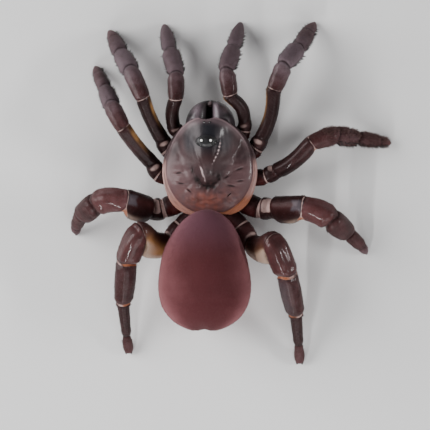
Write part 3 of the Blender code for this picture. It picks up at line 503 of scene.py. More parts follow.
def closed_grid(points):
    """Points and faces of a closed surface over a grid, both ends drawn to their middles."""
    rows, columns = points.shape[:2]
    full = np.concatenate((points.reshape(-1, 3), [points[0].mean(0), points[-1].mean(0)]))
    return full, outward(full, grid_faces(rows, columns))


def skin(name, points, fields=()):
    """A closed surface over a grid of points, with named fields on the same grid."""
    full, faces = closed_grid(points)
    thing = raw_mesh(name, full, faces)
    for field, values in dict(fields).items():
        ends = [values[0].mean(), values[-1].mean()]
        add_field(thing, field, np.concatenate((values.ravel(), ends)))
    return thing


def joined(name, grids):
    """One mesh of several closed surfaces, each over its own grid."""
    all_points = []
    all_faces = []
    start = 0
    for points in grids:
        full, faces = closed_grid(points)
        all_points.append(full)
        all_faces += [group + start for group in faces]
        start += len(full)
    return raw_mesh(name, np.concatenate(all_points), all_faces)


def tube_grid(path, radii, columns=14, rows=24, squash=1.0, tip=True):
    """A tube along a smooth curve through points: each ring is a circle square to the curve.

    The curve is a Catmull-Rom spline, and the radius follows the same shares of it.
    """
    path = np.asarray(path, float)
    padded = np.concatenate(([2 * path[0] - path[1]], path, [2 * path[-1] - path[-2]]))
    shares = np.linspace(0.0, len(path) - 1.0, rows)
    span = np.minimum(shares.astype(int), len(path) - 2)
    t = (shares - span)[:, None]
    a, b, c, d = (padded[span + k] for k in range(4))
    line = 0.5 * (2 * b + (c - a) * t + (2 * a - 5 * b + 4 * c - d) * t ** 2
                  + (3 * b - a - 3 * c + d) * t ** 3)
    along = unit(np.gradient(line, axis=0))
    guide = np.array((0.0, 0.0, 1.0)) if abs(along[0, 2]) < 0.8 else np.array((0.0, 1.0, 0.0))
    across = unit(np.cross(along, guide))
    upper = np.cross(across, along)
    girth = np.interp(shares, np.arange(len(path)), radii)
    if tip:
        girth = girth * np.sqrt(np.clip(1.0 - (shares / shares[-1]) ** 14, 0.0, 1.0)) + 1e-3
    angle = TURN * np.arange(columns) / columns
    rings = (across[:, None] * np.cos(angle)[:, None]
             + upper[:, None] * np.sin(angle)[:, None] * squash)
    return line[:, None] + rings * girth[:, None, None]


def ball_grid(centre, half, columns=32, rows=20):
    """An oval ball: rows along Z at sin of the latitude, rings scaled by its cosine."""
    latitude = math.pi * ((np.arange(rows) + 0.5) / rows - 0.5)[:, None]
    angle = TURN * np.arange(columns)[None] / columns
    points = np.stack((np.cos(latitude) * np.cos(angle), np.cos(latitude) * np.sin(angle),
                       np.sin(latitude) + 0.0 * angle), -1)
    return np.asarray(centre) + points * np.asarray(half)


def finished(thing, material, slot, *nodes):
    """Give a piece its finish and its body, and let it stand for the nodes it covers. The slot is not used.
    """
    thing.data.materials.append(material)
    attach(thing, BODY)
    if nodes:
        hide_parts(*nodes)
    return thing


class Wire:
    """A shader value, on which Python's arithmetic adds Math nodes."""

    def __init__(self, finish, socket):
        self.finish = finish
        self.socket = socket

    def math(self, operation, first, second):
        """A Math node's value from two others."""
        return self.finish.node("ShaderNodeMath", {"operation": operation}, {0: first, 1: second})

    def __add__(self, other):
        return self.math("ADD", self, other)

    __radd__ = __add__

    def __mul__(self, other):
        return self.math("MULTIPLY", self, other)

    __rmul__ = __mul__

    def __sub__(self, other):
        return self.math("SUBTRACT", self, other)

    def __rsub__(self, other):
        return self.math("SUBTRACT", other, self)

    def __pow__(self, other):
        return self.math("POWER", self, other)


class Finish:
    """A material whose nodes all come from one method, and whose constants sit on its shader."""

    def __init__(self, name, **constants):
        self.material = bpy.data.materials.new(name)
        self.material.use_nodes = True
        self.tree = self.material.node_tree
        self.shader = self.tree.nodes["Principled BSDF"]
        for socket, value in constants.items():
            self.shader.inputs[socket.replace("_", " ")].default_value = value

    def node(self, kind, settings=None, sockets=None, output=0):
        """A node by its type, its settings first and then its sockets' values or links."""
        made = self.tree.nodes.new(kind)
        for setting, value in (settings or {}).items():
            setattr(made, setting, value)
        for socket, value in (sockets or {}).items():
            if isinstance(value, Wire):
                self.tree.links.new(value.socket, made.inputs[socket])
            else:
                made.inputs[socket].default_value = value
        return Wire(self, made.outputs[output])

    def place(self):
        """The place on the piece, in metres."""
        return self.node("ShaderNodeTexCoord", output="Object")

    def field(self, name):
        """A field that the mesh carries."""
        return self.node("ShaderNodeAttribute", {"attribute_name": name}, output="Fac")

    def noise(self, size, detail=3.0, roughness=0.55, stretch=None):
        """Cloudy noise from 0 to 1 whose blotches are about a size in millimetres across."""
        where = self.place()
        if stretch:
            where = self.node("ShaderNodeMapping", None, {"Vector": where, "Scale": stretch})
        return self.node("ShaderNodeTexNoise", None,
                         {"Vector": where, "Scale": 1.0 / (size * MM), "Detail": detail,
                          "Roughness": roughness})

    def clamp(self, value, low, high):
        """A value's rise from 0 at low to 1 at high, eased."""
        return self.node("ShaderNodeMapRange", {"interpolation_type": "SMOOTHSTEP"},
                         {"Value": value, "From Min": low, "From Max": high})

    def mix(self, share, first, second):
        """A colour between two, as far along as a share says."""
        return self.node("ShaderNodeMix", {"data_type": "RGBA"}, {0: share, 6: first, 7: second}, 2)

    def layers(self, colour, *over):
        """A colour under others, each laid over the last by its own share."""
        for share, tone in over:
            colour = self.mix(share, colour, tone)
        return colour

    def bump(self, height, distance, strength=1.0):
        """A normal from a height from 0 to 1 that stands for a distance in millimetres."""
        return self.node("ShaderNodeBump", None,
                         {"Height": height, "Distance": distance * MM, "Strength": strength},
                         "Normal")

    def paint(self, **links):
        """Lead values into the shader's own sockets."""
        for socket, wire in links.items():
            self.tree.links.new(wire.socket, self.shader.inputs[socket.replace("_", " ")])
        return self.material


# Colours of the surfaces, as display values
SHELL_DARK = tint(50, 36, 39)
SHELL_BROWN = tint(74, 52, 54)
SHELL_SIDE = tint(98, 72, 74)
# Dark head, tinted blue-grey partly to stand in for a blue-grey sheen: in part a painted reflection tint
SHELL_HEAD = tint(25, 28, 35)
SHELL_RED = tint(134, 80, 71)
SHELL_PALE = tint(146, 122, 126)
# Painted highlight along the crests of the two ridges
CREST_HIGHLIGHT = tint(216, 192, 192)
GROOVE_DARK = tint(20, 8, 9)
MEMBRANE_PINK = tint(186, 148, 142)
RING_PINK = tint(182, 154, 148)
MEMBRANE_AMBER = tint(168, 104, 74)
CUTICLE_DARK = tint(27, 14, 14)
CUTICLE_BROWN = tint(94, 54, 54)
HEAD_BROWN = tint(50, 31, 32)
CUTICLE_RED = tint(74, 20, 18)
DOWN_GREY = tint(112, 98, 105)
CREAM = tint(178, 152, 134)
AMBER = tint(186, 136, 84)
LILAC = tint(84, 78, 84)
VELVET_DARK = tint(80, 32, 36)
# Lighter velvet, laid on partly by random tone and partly as painted light on the flanks
VELVET_LIGHT = tint(132, 80, 84)
VELVET_HAZE = tint(114, 78, 94)
# Painted glint of the eye lenses, which they also give off as light
GLINT_WHITE = tint(236, 234, 230)
JAW_DARK = tint(34, 26, 29)
JAW_GREY = tint(66, 56, 61)
# Painted grey sheen on top of the chelicerae
JAW_SHEEN_GREY = tint(136, 120, 128)
# Painted shade on the chelicerae's inner sides and undersides
JAW_SHADE_BLACK = tint(8, 3, 5)

# Tints of the light that a surface mirrors, as linear values
SHELL_GLOSS = (1.0, 0.84, 0.84, 1.0)
LIMB_GLOSS = (1.0, 0.68, 0.7, 1.0)


def shell_finish():
    """Glossy brown shell: dark blue-grey head, the blue in part a painted reflection tint, reddish rear,
    dark grooves, painted shade on the front flanks, painted highlights on the ridges, soft pink side wall.
    """
    look = Finish("shell_finish", IOR=1.45, Coat_Roughness=0.13, Coat_IOR=1.5, Specular_Tint=SHELL_GLOSS)
    cloud = look.noise(2.2, 4.0)
    grain = look.noise(0.22, 3.0)
    head, groove, flesh = (look.field(name) for name in ("head", "groove", "flesh"))
    amber = look.clamp(look.field("amber") + (cloud - 0.5) * 0.5, 0.2, 0.95)
    soft = look.layers(MEMBRANE_PINK, (amber, MEMBRANE_AMBER), (look.field("fold") * 0.5, SHELL_RED))
    colour = look.layers(SHELL_BROWN, (look.clamp(cloud, 0.35, 0.7), SHELL_DARK),
                         (look.field("side") * look.clamp(cloud, -0.2, 0.55), SHELL_SIDE),
                         (head, look.mix(look.field("hump"), SHELL_HEAD, HEAD_BROWN)),
                         (look.field("rear") * look.clamp(cloud, 0.25, 0.6), SHELL_RED),
                         # the groove field also carries the painted shade on the front flanks
                         (look.field("margin") * 0.85, SHELL_PALE), (groove, GROOVE_DARK),
                         # painted highlight along the ridges' crests
                         (look.field("crest_painted_highlight") * 0.8, CREST_HIGHLIGHT), (flesh, soft))
    rough = 0.4 + grain * 0.14 + flesh * 0.2 - head * 0.06 + groove * 0.35
    height = grain * 0.5 + look.noise(0.07, 2.0) * 0.3 + look.noise(0.7, 2.0) * 0.9
    return look.paint(Base_Color=colour, Roughness=rough, Normal=look.bump(height, 0.04),
                      Coat_Weight=0.17 - flesh * 0.12 - groove * 0.05)


def limb_colour(look):
    """Colour of a limb's cuticle and of the hairs on it, from the fields that both carry."""
    cloud = look.noise(1.3, 4.0)
    grain = look.noise(0.16, 3.0)
    flesh = look.field("flesh")
    tone = look.clamp(look.field("brown") + (cloud - 0.5) * 0.6, 0.0, 1.0)
    grey = look.clamp(look.field("down") + (grain - 0.5) * 0.4 + (cloud - 0.5) * 0.7, 0.05, 1.1)
    soft = look.layers(RING_PINK, (look.clamp(cloud, 0.5, 0.95), CUTICLE_BROWN),
                       (look.field("orange"), MEMBRANE_AMBER))
    edge = (look.noise(0.7, 3.0) - 0.5) * 0.9
    return look.layers(CUTICLE_DARK, (tone, CUTICLE_BROWN), (look.field("red"), CUTICLE_RED),
                       (grey * 0.9, DOWN_GREY), (look.field("lilac"), LILAC),
                       (look.field("amber"), AMBER), (look.field("cream"), CREAM),
                       # flesh also carries the painted highlight stripes on the patellae of legs III and IV
                       (look.clamp(flesh + edge * flesh, 0.2, 0.65), soft),
                       (look.field("groove"), GROOVE_DARK))


def limb_finish():
    """Cuticle of the limbs: glossy near the body, grey and downy further out, pale at the joints."""
    look = Finish("limb_finish", IOR=1.3, Coat_Roughness=0.12, Coat_IOR=1.5, Specular_Tint=LIMB_GLOSS)
    down = look.field("down")
    grain = look.noise(0.14, 3.0)
    height = grain * 0.5 + look.noise(0.06, 2.0) * 0.35 + look.noise(0.5, 2.0) * 0.6
    rough = 0.4 + down * 0.2 + grain * 0.14
    return look.paint(Base_Color=limb_colour(look), Roughness=rough, Normal=look.bump(height, 0.045),
                      Coat_Weight=look.field("gloss") * look.clamp(grain, 0.75, 0.35) * 0.6)


def velvet_colour(look):
    """Purplish brown with painted light, a little lighter towards the flanks, with paler plates below."""
    # painted light: lighter towards the flanks, over a random tone
    shade = look.clamp(look.noise(3.6, 4.0) * 0.5 + look.field("flank_shading") * 0.75, 0.25, 1.05)
    return look.layers(VELVET_DARK, (shade, VELVET_LIGHT), (look.field("haze") * 0.5, VELVET_HAZE),
                       (look.field("plate") * 0.6, SHELL_RED), (look.field("groove") * 0.7, GROOVE_DARK))


def velvet_finish():
    """Matt velvet of the abdomen."""
    look = Finish("velvet_finish", IOR=1.35, Sheen_Weight=0.12, Sheen_Roughness=0.45,
                  Sheen_Tint=tint(190, 150, 150))
    pile = look.noise(0.11, 2.0)
    height = pile * 0.6 + look.noise(0.4, 3.0) * 0.7
    return look.paint(Base_Color=velvet_colour(look), Roughness=0.74 + pile * 0.2,
                      Normal=look.bump(height, 0.05))


def jaw_finish():
    """Near-black gloss of the chelicerae, with fine lengthwise lines and a painted grey sheen on top."""
    look = Finish("jaw_finish", IOR=1.45, Coat_Weight=0.25, Coat_Roughness=0.14)
    lines = look.noise(0.12, 2.0, 0.5, (1.0, 0.12, 1.0))
    colour = look.layers(JAW_DARK, (look.clamp(look.noise(1.1, 3.0), 0.3, 0.8), JAW_GREY),
                         # painted sheen, broken by the fine lines
                         (look.field("painted_sheen") * look.clamp(lines, 0.0, 0.6), JAW_SHEEN_GREY),
                         # painted shade on the inner sides, below, and at each root by the shell's margin
                         (look.field("groove"), JAW_SHADE_BLACK))
    return look.paint(Base_Color=colour, Roughness=0.36 + lines * 0.2, Normal=look.bump(lines, 0.015))


def plain_finish(name, dark, light, size, rough, gloss=0.3, relief=0.02, sheen=0.0):
    """A finish of two blotched colours with a fine grain."""
    look = Finish(name, IOR=1.5, Coat_Weight=gloss, Coat_Roughness=0.12, Sheen_Weight=sheen)
    cloud = look.noise(size, 3.0)
    grain = look.noise(size * 0.15, 2.0)
    colour = look.mix(look.clamp(cloud, 0.3, 0.7), dark, light)
    return look.paint(Base_Color=colour, Roughness=rough + grain * 0.15,
                      Normal=look.bump(grain, relief))


def hair_finish(name, colour_of, tip, strength):
    """Hairs in the colour of the skin below them, which lighten or darken towards the tip."""
    look = Finish(name, Roughness=0.6, IOR=1.4)
    return look.paint(Base_Color=look.mix(look.field("tip") * strength, colour_of(look), tip))


def underside_z(y):
    """Level of the shell's underside, which rises ahead over the chelicerae."""
    ahead = y - CLYPEUS_START_Y
    return CARAPACE_FLOOR + 0.5 * CLYPEUS_SLOPE * (ahead + np.hypot(ahead, CLYPEUS_BEND))


def shell_reach(x, y):
    """Share of the way from the shell's widest line to its margin, 1 on the margin."""
    length = np.where(y > CARAPACE_WIDEST_Y, CARAPACE_FRONT_LENGTH, CARAPACE_REAR_LENGTH)
    return np.hypot(x / CARAPACE_HALF_WIDTH, (y - CARAPACE_WIDEST_Y) / length)


def even_slope(share):
    """From 1 at share 0 to 0 at share 1: level, then one slope, with the bends at both ends eased."""
    def run(way):
        way = np.maximum(way, 0.0)
        return np.where(way < 1.0, way ** 3 - 0.5 * way ** 4, way - 0.5)

    whole = 1.0 - 0.5 * HUMP_TOP - 0.5 * HUMP_FOOT
    done = HUMP_TOP * run(share / HUMP_TOP) - HUMP_FOOT * run((share - 1.0 + HUMP_FOOT) / HUMP_FOOT)
    return 1.0 - np.minimum(done, whole) / whole


def caput_share(x, y):
    """How much of the head hump stands at a point: a lengthwise arch times an even slope to each side."""
    ahead = np.clip((y - CAPUT_CREST_Y) / (CAPUT_FRONT_Y - CAPUT_CREST_Y), 0.0, 1.0)
    behind = np.clip((CAPUT_CREST_Y - y) / (CAPUT_CREST_Y - CAPUT_REAR_Y), 0.0, 1.0)
    lift, bend = CAPUT_FRONT_POWERS
    lengthwise = np.where(y > CAPUT_CREST_Y, (1.0 - ahead ** lift) ** bend,
                          fall(behind ** CAPUT_REAR_POWER))
    blend = 1.0 - fall((y - CAPUT_REAR_Y) / (CAPUT_FRONT_Y - CAPUT_REAR_Y))
    half = CAPUT_REAR_HALF_WIDTH + (CAPUT_FRONT_HALF_WIDTH - CAPUT_REAR_HALF_WIDTH) * blend
    return lengthwise * even_slope(np.abs(x) / half)


def shell_bearing(x, y):
    """Angle from ahead about the middle of the shell's widest line, alike on both sides, in degrees."""
    return np.degrees(np.arctan2(np.abs(x), y - CARAPACE_WIDEST_Y))


def shell_grooves(x, y):
    """Depth of the curved, wavering fovea and of the radial furrows."""
    line_y = FOVEA_Y + FOVEA_CURVE * x * x
    for height, rate, start in FOVEA_WAVES:
        line_y = line_y + height * np.sin(rate * x + start)
    pit = FOVEA_DEPTH * bell(y, line_y, FOVEA_WIDTH) * fall((np.abs(x) / FOVEA_REACH) ** 4)
    along = bell(shell_reach(x, y), FURROW_REACH, FURROW_SPAN)
    for middle in FURROW_BEARINGS:
        pit = pit + FURROW_DEPTH * along * bell(shell_bearing(x, y), middle, FURROW_WIDTH)
    return pit


def shell_z(x, y):
    """Level of the shell's upper surface: rim, thorax dome and head hump less the grooves."""
    dome = np.maximum(0.0, 1.0 - shell_reach(x, y) ** 2) ** THORAX_POWER
    height = RIM_THICKNESS + THORAX_HEIGHT * dome + CAPUT_HEIGHT * caput_share(x, y)
    return underside_z(y) + height - shell_grooves(x, y)


def pleura_width(angle):
    """Width of the soft side wall: none in front, most at the rear corners."""
    bearing = np.degrees(np.minimum(angle, TURN - angle))
    corner = bell(bearing, PLEURA_REAR_BEARING, PLEURA_REAR_SPREAD)
    return (PLEURA_WIDTH + PLEURA_REAR_WIDTH * corner) * (1.0 - np.cos(0.5 * angle) ** 8)


def shell_outline(angle, widening):
    """The margin at an angle from ahead: two half ovals, cut blunt in front and behind."""
    ahead = np.cos(angle)
    length = np.where(ahead > 0.0, CARAPACE_FRONT_LENGTH, CARAPACE_REAR_LENGTH)
    x = (CARAPACE_HALF_WIDTH + widening) * np.sin(angle)
    y = CARAPACE_WIDEST_Y + (length + 0.5 * widening) * ahead
    return x, np.minimum(np.maximum(y, CARAPACE_REAR_Y - 0.3 * widening), CARAPACE_FRONT_Y)


def stretch(values, low, high, soft):
    """1 between two limits and 0 outside, with soft ends."""
    return ease(values, low - soft, low + soft) * (1.0 - ease(values, high - soft, high + soft))


def ridge(x, y, line, width, span):
    """A band of height 1 along a broken line, over a span of y."""
    return bell(x, np.interp(y, *line), width) * stretch(y, *span)


def shell_relief(x, y):
    """Height of the two ridges and of the pits' lips, and how far into a pit each place lies."""
    beads = 1.0 + BEAD_HEIGHT * np.sin(BEAD_RATE * y) * ease(y, -0.2, 0.6)
    ridges = (ridge(x, y, LEFT_RIDGE, RIDGE_WIDTH, LEFT_SPAN)
              + ridge(x, y, RIGHT_RIDGE, RIDGE_WIDTH, RIGHT_SPAN) * beads)
    pits = np.zeros_like(x)
    lips = np.zeros_like(x)
    for pit_x, pit_y, bearing, size in SIDE_PITS:
        turn = math.radians(bearing)
        along = (x - pit_x) * math.sin(turn) + (y - pit_y) * math.cos(turn)
        across = (x - pit_x) * math.cos(turn) - (y - pit_y) * math.sin(turn)
        length = bell(along, 0.0, PIT_HALF_LENGTH * size)
        pits += length * bell(across, 0.0, PIT_HALF_WIDTH * size)
        for side in (-1, 1):
            lips += length * bell(across, side * LIP_OFFSET * size, LIP_HALF_WIDTH)
    return RIDGE_HEIGHT * ridges + LIP_HEIGHT * lips, np.clip(pits, 0.0, 1.0)


def front_notch(x, y):
    """How far the front margin draws back at a place, nothing behind the front."""
    return NOTCH_DEPTH * bell(x, NOTCH_X, NOTCH_HALF_WIDTH) * (y > 5.0)


def blots(x, y, spots):
    """The sum of soft oval spots, each with its centre x, half width, centre y, half length, strength."""
    return sum(strength * bell(x, middle_x, wide) * bell(y, middle_y, long)
               for middle_x, wide, middle_y, long, strength in spots)


def shell_top(x, y):
    """Points of the shell's upper side with all its relief, and how far into a pit each lies."""
    top = np.stack((x, y, shell_z(x, y)), -1)
    reach = shell_reach(x, y)
    thorax = 1.0 - ease(caput_share(x, y), 0.02, 0.3)
    folds = FOLD_HEIGHT * np.sin(FOLD_RATE * shell_bearing(x, y) + 2.5 * ripple(top, 2.6, 1))
    folds *= bell(reach, 0.72, 0.2) * thorax * (0.35 + 0.65 * ease(x, -1.0, 1.5))
    lumps = REAR_LINES * np.sin(8.0 * y + 5.0 * ripple(top, 1.5, 2)) + REAR_LUMPS * ripple(top, 1.0, 9)
    lumps *= bell(x, 0.0, REAR_HALF[0]) * bell(y, REAR_Y, REAR_HALF[1])
    wrinkles = WRINKLES[0] * ripple(top, 2.4, 3) + WRINKLES[1] * ripple(top, 0.9, 4)
    wrinkles *= 0.6 + 0.4 * thorax
    ridges, pits = shell_relief(x, y)
    bead = MARGIN_BEAD * bell(reach, 0.985, 0.012)
    relief = folds + lumps + bead + ridges - PIT_DEPTH * pits + wrinkles
    top[..., 2] += relief * ease(1.0 - reach, 0.0, 0.03)
    return top, pits


def shell_skirt(angle, edge_x, edge_y):
    """Rows of the creased side wall and of the underside, and the streaks on them."""
    wide = pleura_width(angle)
    ring = np.stack((edge_x, edge_y, 0.0 * angle), -1)
    rows = []
    streaks = []
    for number, (out, level) in enumerate(PLEURA_PROFILE):
        x, y = shell_outline(angle, out * wide)
        y = y - front_notch(x, y)
        crease = CREASES * ripple(ring + (0.0, 0.0, 0.8 * number), 1.1, 6) * ease(wide, 0.2, 0.6)
        rows.append(np.stack((x, y, underside_z(y) + level + crease), -1))
        streaks.append(ripple(ring + (0.0, 0.0, 0.9 * number), 1.5, 11))
    for share in UNDERSIDE_SHARES:
        level = underside_z(edge_y * share) - UNDERSIDE_SINK
        rows.append(np.stack((edge_x * share, CARAPACE_WIDEST_Y + (edge_y - CARAPACE_WIDEST_Y) * share,
                              level), -1))
        streaks.append(0.0 * angle)
    return np.stack(rows), np.stack(streaks)


def shell_darkness(top, pits):
    """How dark the upper side is: grooves and spots, pits, stains behind, and painted shade on both flanks
    in front.
    """
    x, y = top[..., 0], top[..., 1]
    dark = 0.6 * ease(shell_grooves(x, y), 0.12, 0.45) + blots(x, y, FOVEA_SPOTS)
    dark = dark * (0.85 + ripple(top, 0.8, 10)) + 0.9 * ease(pits, 0.25, 0.8)
    stains = bell(y, -4.7, 1.1) * bell(x, 0.0, 3.6)
    stains *= ease(ripple(top, 1.0, 13) + 0.12 * np.abs(x), 0.18, 0.6)
    # Painted shade along both front flanks, near the margin
    flank_shading = bell(shell_reach(x, y), 0.87, 0.13) * stretch(y, 1.6, 5.0, 0.9)
    flank_shading *= 0.8 + 0.8 * ripple(top, 2.0, 15)
    return dark + 0.5 * stains + 0.55 * flank_shading + blots(x, y, (EYE_SPOT,))


def make_shell():
    """The carapace: rings that shrink to its middle, the soft side wall and the underside.

    A ring is the margin times a share, at the level of shell_z plus ridges, pits, folds and wrinkles.
    """
    columns = 400
    angle = TURN * np.arange(columns) / columns
    shares = np.sin(0.5 * math.pi * np.linspace(0.006, 1.0, 150))[:, None]
    edge_x, edge_y = shell_outline(angle, 0.0)
    edge_y = edge_y - front_notch(edge_x, edge_y)
    x = edge_x * shares
    y = CARAPACE_WIDEST_Y + (edge_y - CARAPACE_WIDEST_Y) * shares
    top, pits = shell_top(x, y)
    skirt, streaks = shell_skirt(angle, edge_x, edge_y)
    points = np.concatenate((top, skirt))
    all_x, all_y = points[..., 0], points[..., 1]

    def padded(values, rest=0.0):
        """Values of the upper side, with one value for all that lies below it."""
        return np.concatenate((values, np.full(streaks.shape, rest)))

    outside = padded(0.0 * x, 1.0)
    inside = 1.0 - outside
    reach = padded(shell_reach(x, y), 2.0)
    soft = ease(pleura_width(angle), 0.05, 0.3) * ease(-edge_y, -1.3, 0.4)
    # Painted highlights: a pale streak along the left ridge and a row of pale beads along the right one
    left = ridge(x, y, LEFT_RIDGE, 0.11, LEFT_HIGHLIGHT_SPAN)
    right = ridge(x, y, RIGHT_RIDGE, 0.1, RIGHT_HIGHLIGHT_SPAN)
    right *= 0.25 + 0.75 * ease(np.sin(13.0 * y + 1.0), -0.2, 0.7)
    fields = {
        "head": ease(caput_share(all_x, all_y), 0.08, 0.5) * ease(all_y, -2.6, 2.0) * inside,
        "hump": (1.0 - ease(all_y, 0.6, 3.0)) * inside,
        "side": ease(reach, 0.3, 0.7) * ease(-all_y, -1.6, 1.2) * inside,
        "rear": (bell(all_x, 0.0, 3.4) * bell(all_y, -4.9, 1.6) * inside
                 * (0.95 + 1.4 * ripple(points, 0.9, 14))),
        # dark grooves, spots, pits and stains, with painted shade on the front flanks
        "groove": padded(np.clip(shell_darkness(top, pits), 0.0, 1.0)),
        # painted highlight, uneven in strength
        "crest_painted_highlight": np.clip(padded((left + right) * (0.75 + 1.8 * ripple(top, 0.55, 12))), 0.0, 1.0),
        "margin": np.clip((bell(reach, 0.98, 0.016) + 0.5 * bell(reach, 0.93, 0.06)) * ease(all_y, 1.0, 5.0),
                          0.0, 1.0),
        "flesh": outside * soft,
        "amber": ease(-all_y, 2.4, 5.8) * (0.6 + 0.4 * ease(all_x, -1.0, 3.0)),
        "fold": ease(np.concatenate((0.0 * x, streaks)), -0.1, 0.5) * (0.75 + 0.25 * ease(all_x, -2.0, 3.0))}
    finished(skin("shell_skin", points, fields), shell_finish(), "shield", "carapace")


def mound_z(x, y):
    """Level of the low hill that carries the eyes."""
    share = np.hypot(x / EYE_MOUND_HALF[0], (y - EYE_MOUND_Y) / EYE_MOUND_HALF[1])
    hill = (1.0 - np.clip(share, 0.0, 1.0) ** 2.6) ** 0.8
    return shell_z(x, y) + EYE_MOUND_LIFT + EYE_MOUND_HEIGHT * hill


def disc_grid(columns, rows):
    """Shares of the way out and angles of a round plate's grid."""
    return np.linspace(0.02, 1.0, rows)[:, None], TURN * np.arange(columns)[None] / columns


def make_eyes():
    """The low black eye mound and the eight lenses, the front pair with a painted glint on top that also
    glows, four more with a faint one.
    """
    share, angle = disc_grid(96, 30)
    x = EYE_MOUND_HALF[0] * share * np.cos(angle)
    y = EYE_MOUND_Y + EYE_MOUND_HALF[1] * share * np.sin(angle)
    top = np.stack((x, y, mound_z(x, y)), -1)
    top[..., 2] += 0.04 * ripple(top, 0.7, 5) * (1.0 - share)
    below = np.stack((x, y, shell_z(x, y) - 0.15), -1)[::-1]
    mound = skin("eye_mound", np.concatenate((top, below)))
    black = plain_finish("eye_mound_finish", tint(12, 10, 12), tint(28, 26, 30), 0.5, 0.4, 0.2)
    finished(mound, black, "eyes", "eye_tubercle")
    balls = []
    glints = []
    for x, y, radius, glint in LENSES:
        level = float(mound_z(x, y)) - LENS_SINK * radius
        for side in (-1, 1):
            ball = ball_grid((x * side + LENS_SHIFT, y, level), (radius, radius, radius * 1.05))
            balls.append(ball)
            cap = glint * ease((ball[..., 2] - level) / radius, *GLINT_FROM)
            glints += [cap.ravel(), cap[0, :1], cap[-1, :1]]
    lenses = joined("eye_lenses", balls)
    add_field(lenses, "painted_glint", np.concatenate(glints))
    look = Finish("lens_finish", Roughness=0.12, IOR=1.45, Coat_Weight=0.3, Coat_Roughness=0.03,
                  Emission_Strength=1.0)
    dark = look.mix(look.noise(0.3, 1.0), tint(6, 6, 8), tint(20, 16, 18))
    painted_glint = look.field("painted_glint")
    # The painted glint is a pale cap in the base colour and the same cap as a glow
    finished(lenses, look.paint(Base_Color=look.mix(painted_glint, dark, GLINT_WHITE),
                                Emission_Color=look.mix(painted_glint, tint(0, 0, 0), GLINT_WHITE)), "eyes")


def make_underside():
    """Sternum, labium and the soft wall between the shell and the coxae."""
    share, angle = disc_grid(96, 26)
    x = STERNUM_HALF[0] * share * np.cos(angle) * (1.0 + 0.05 * np.cos(angle * 10.0))
    y = np.maximum(STERNUM_CENTRE_Y + STERNUM_HALF[1] * share * np.sin(angle), PEDICEL_FACE_Y + 0.2)
    bosses = 0.06 * bell(share, 0.7, 0.06) * (0.5 + 0.5 * np.cos(angle * 6.0))
    below = np.stack((x, y, STERNUM_BOTTOM + STERNUM_RISE * share ** 5 + bosses), -1)
    above = np.stack((x, y, np.full_like(x, STERNUM_TOP)), -1)[::-1]
    cuticle = plain_finish("sternum_finish", CUTICLE_DARK, CUTICLE_RED, 1.2, 0.38)
    finished(skin("sternum_plate", np.concatenate((below, above))), cuticle, "underside", "sternum")
    finished(joined("labium", [ball_grid(LABIUM_CENTRE, LABIUM_HALF)]), cuticle, "underside")
    wall = ball_grid(*SIDE_WALL, 96, 30)
    height, rate = SIDE_WALL_WAVES
    wall[..., 2] += height * np.sin(wall[..., 2] * rate)
    look = plain_finish("wall_finish", MEMBRANE_PINK, MEMBRANE_AMBER, 1.5, 0.5, 0.1)
    finished(joined("side_wall", [wall]), look, "underside")


def bulge(shares, power):
    """Profile of an oval of a power: (1 - s^p)^(1/p)."""
    return ((1.0 - np.abs(shares) ** power) ** (1.0 / power))[:, None]


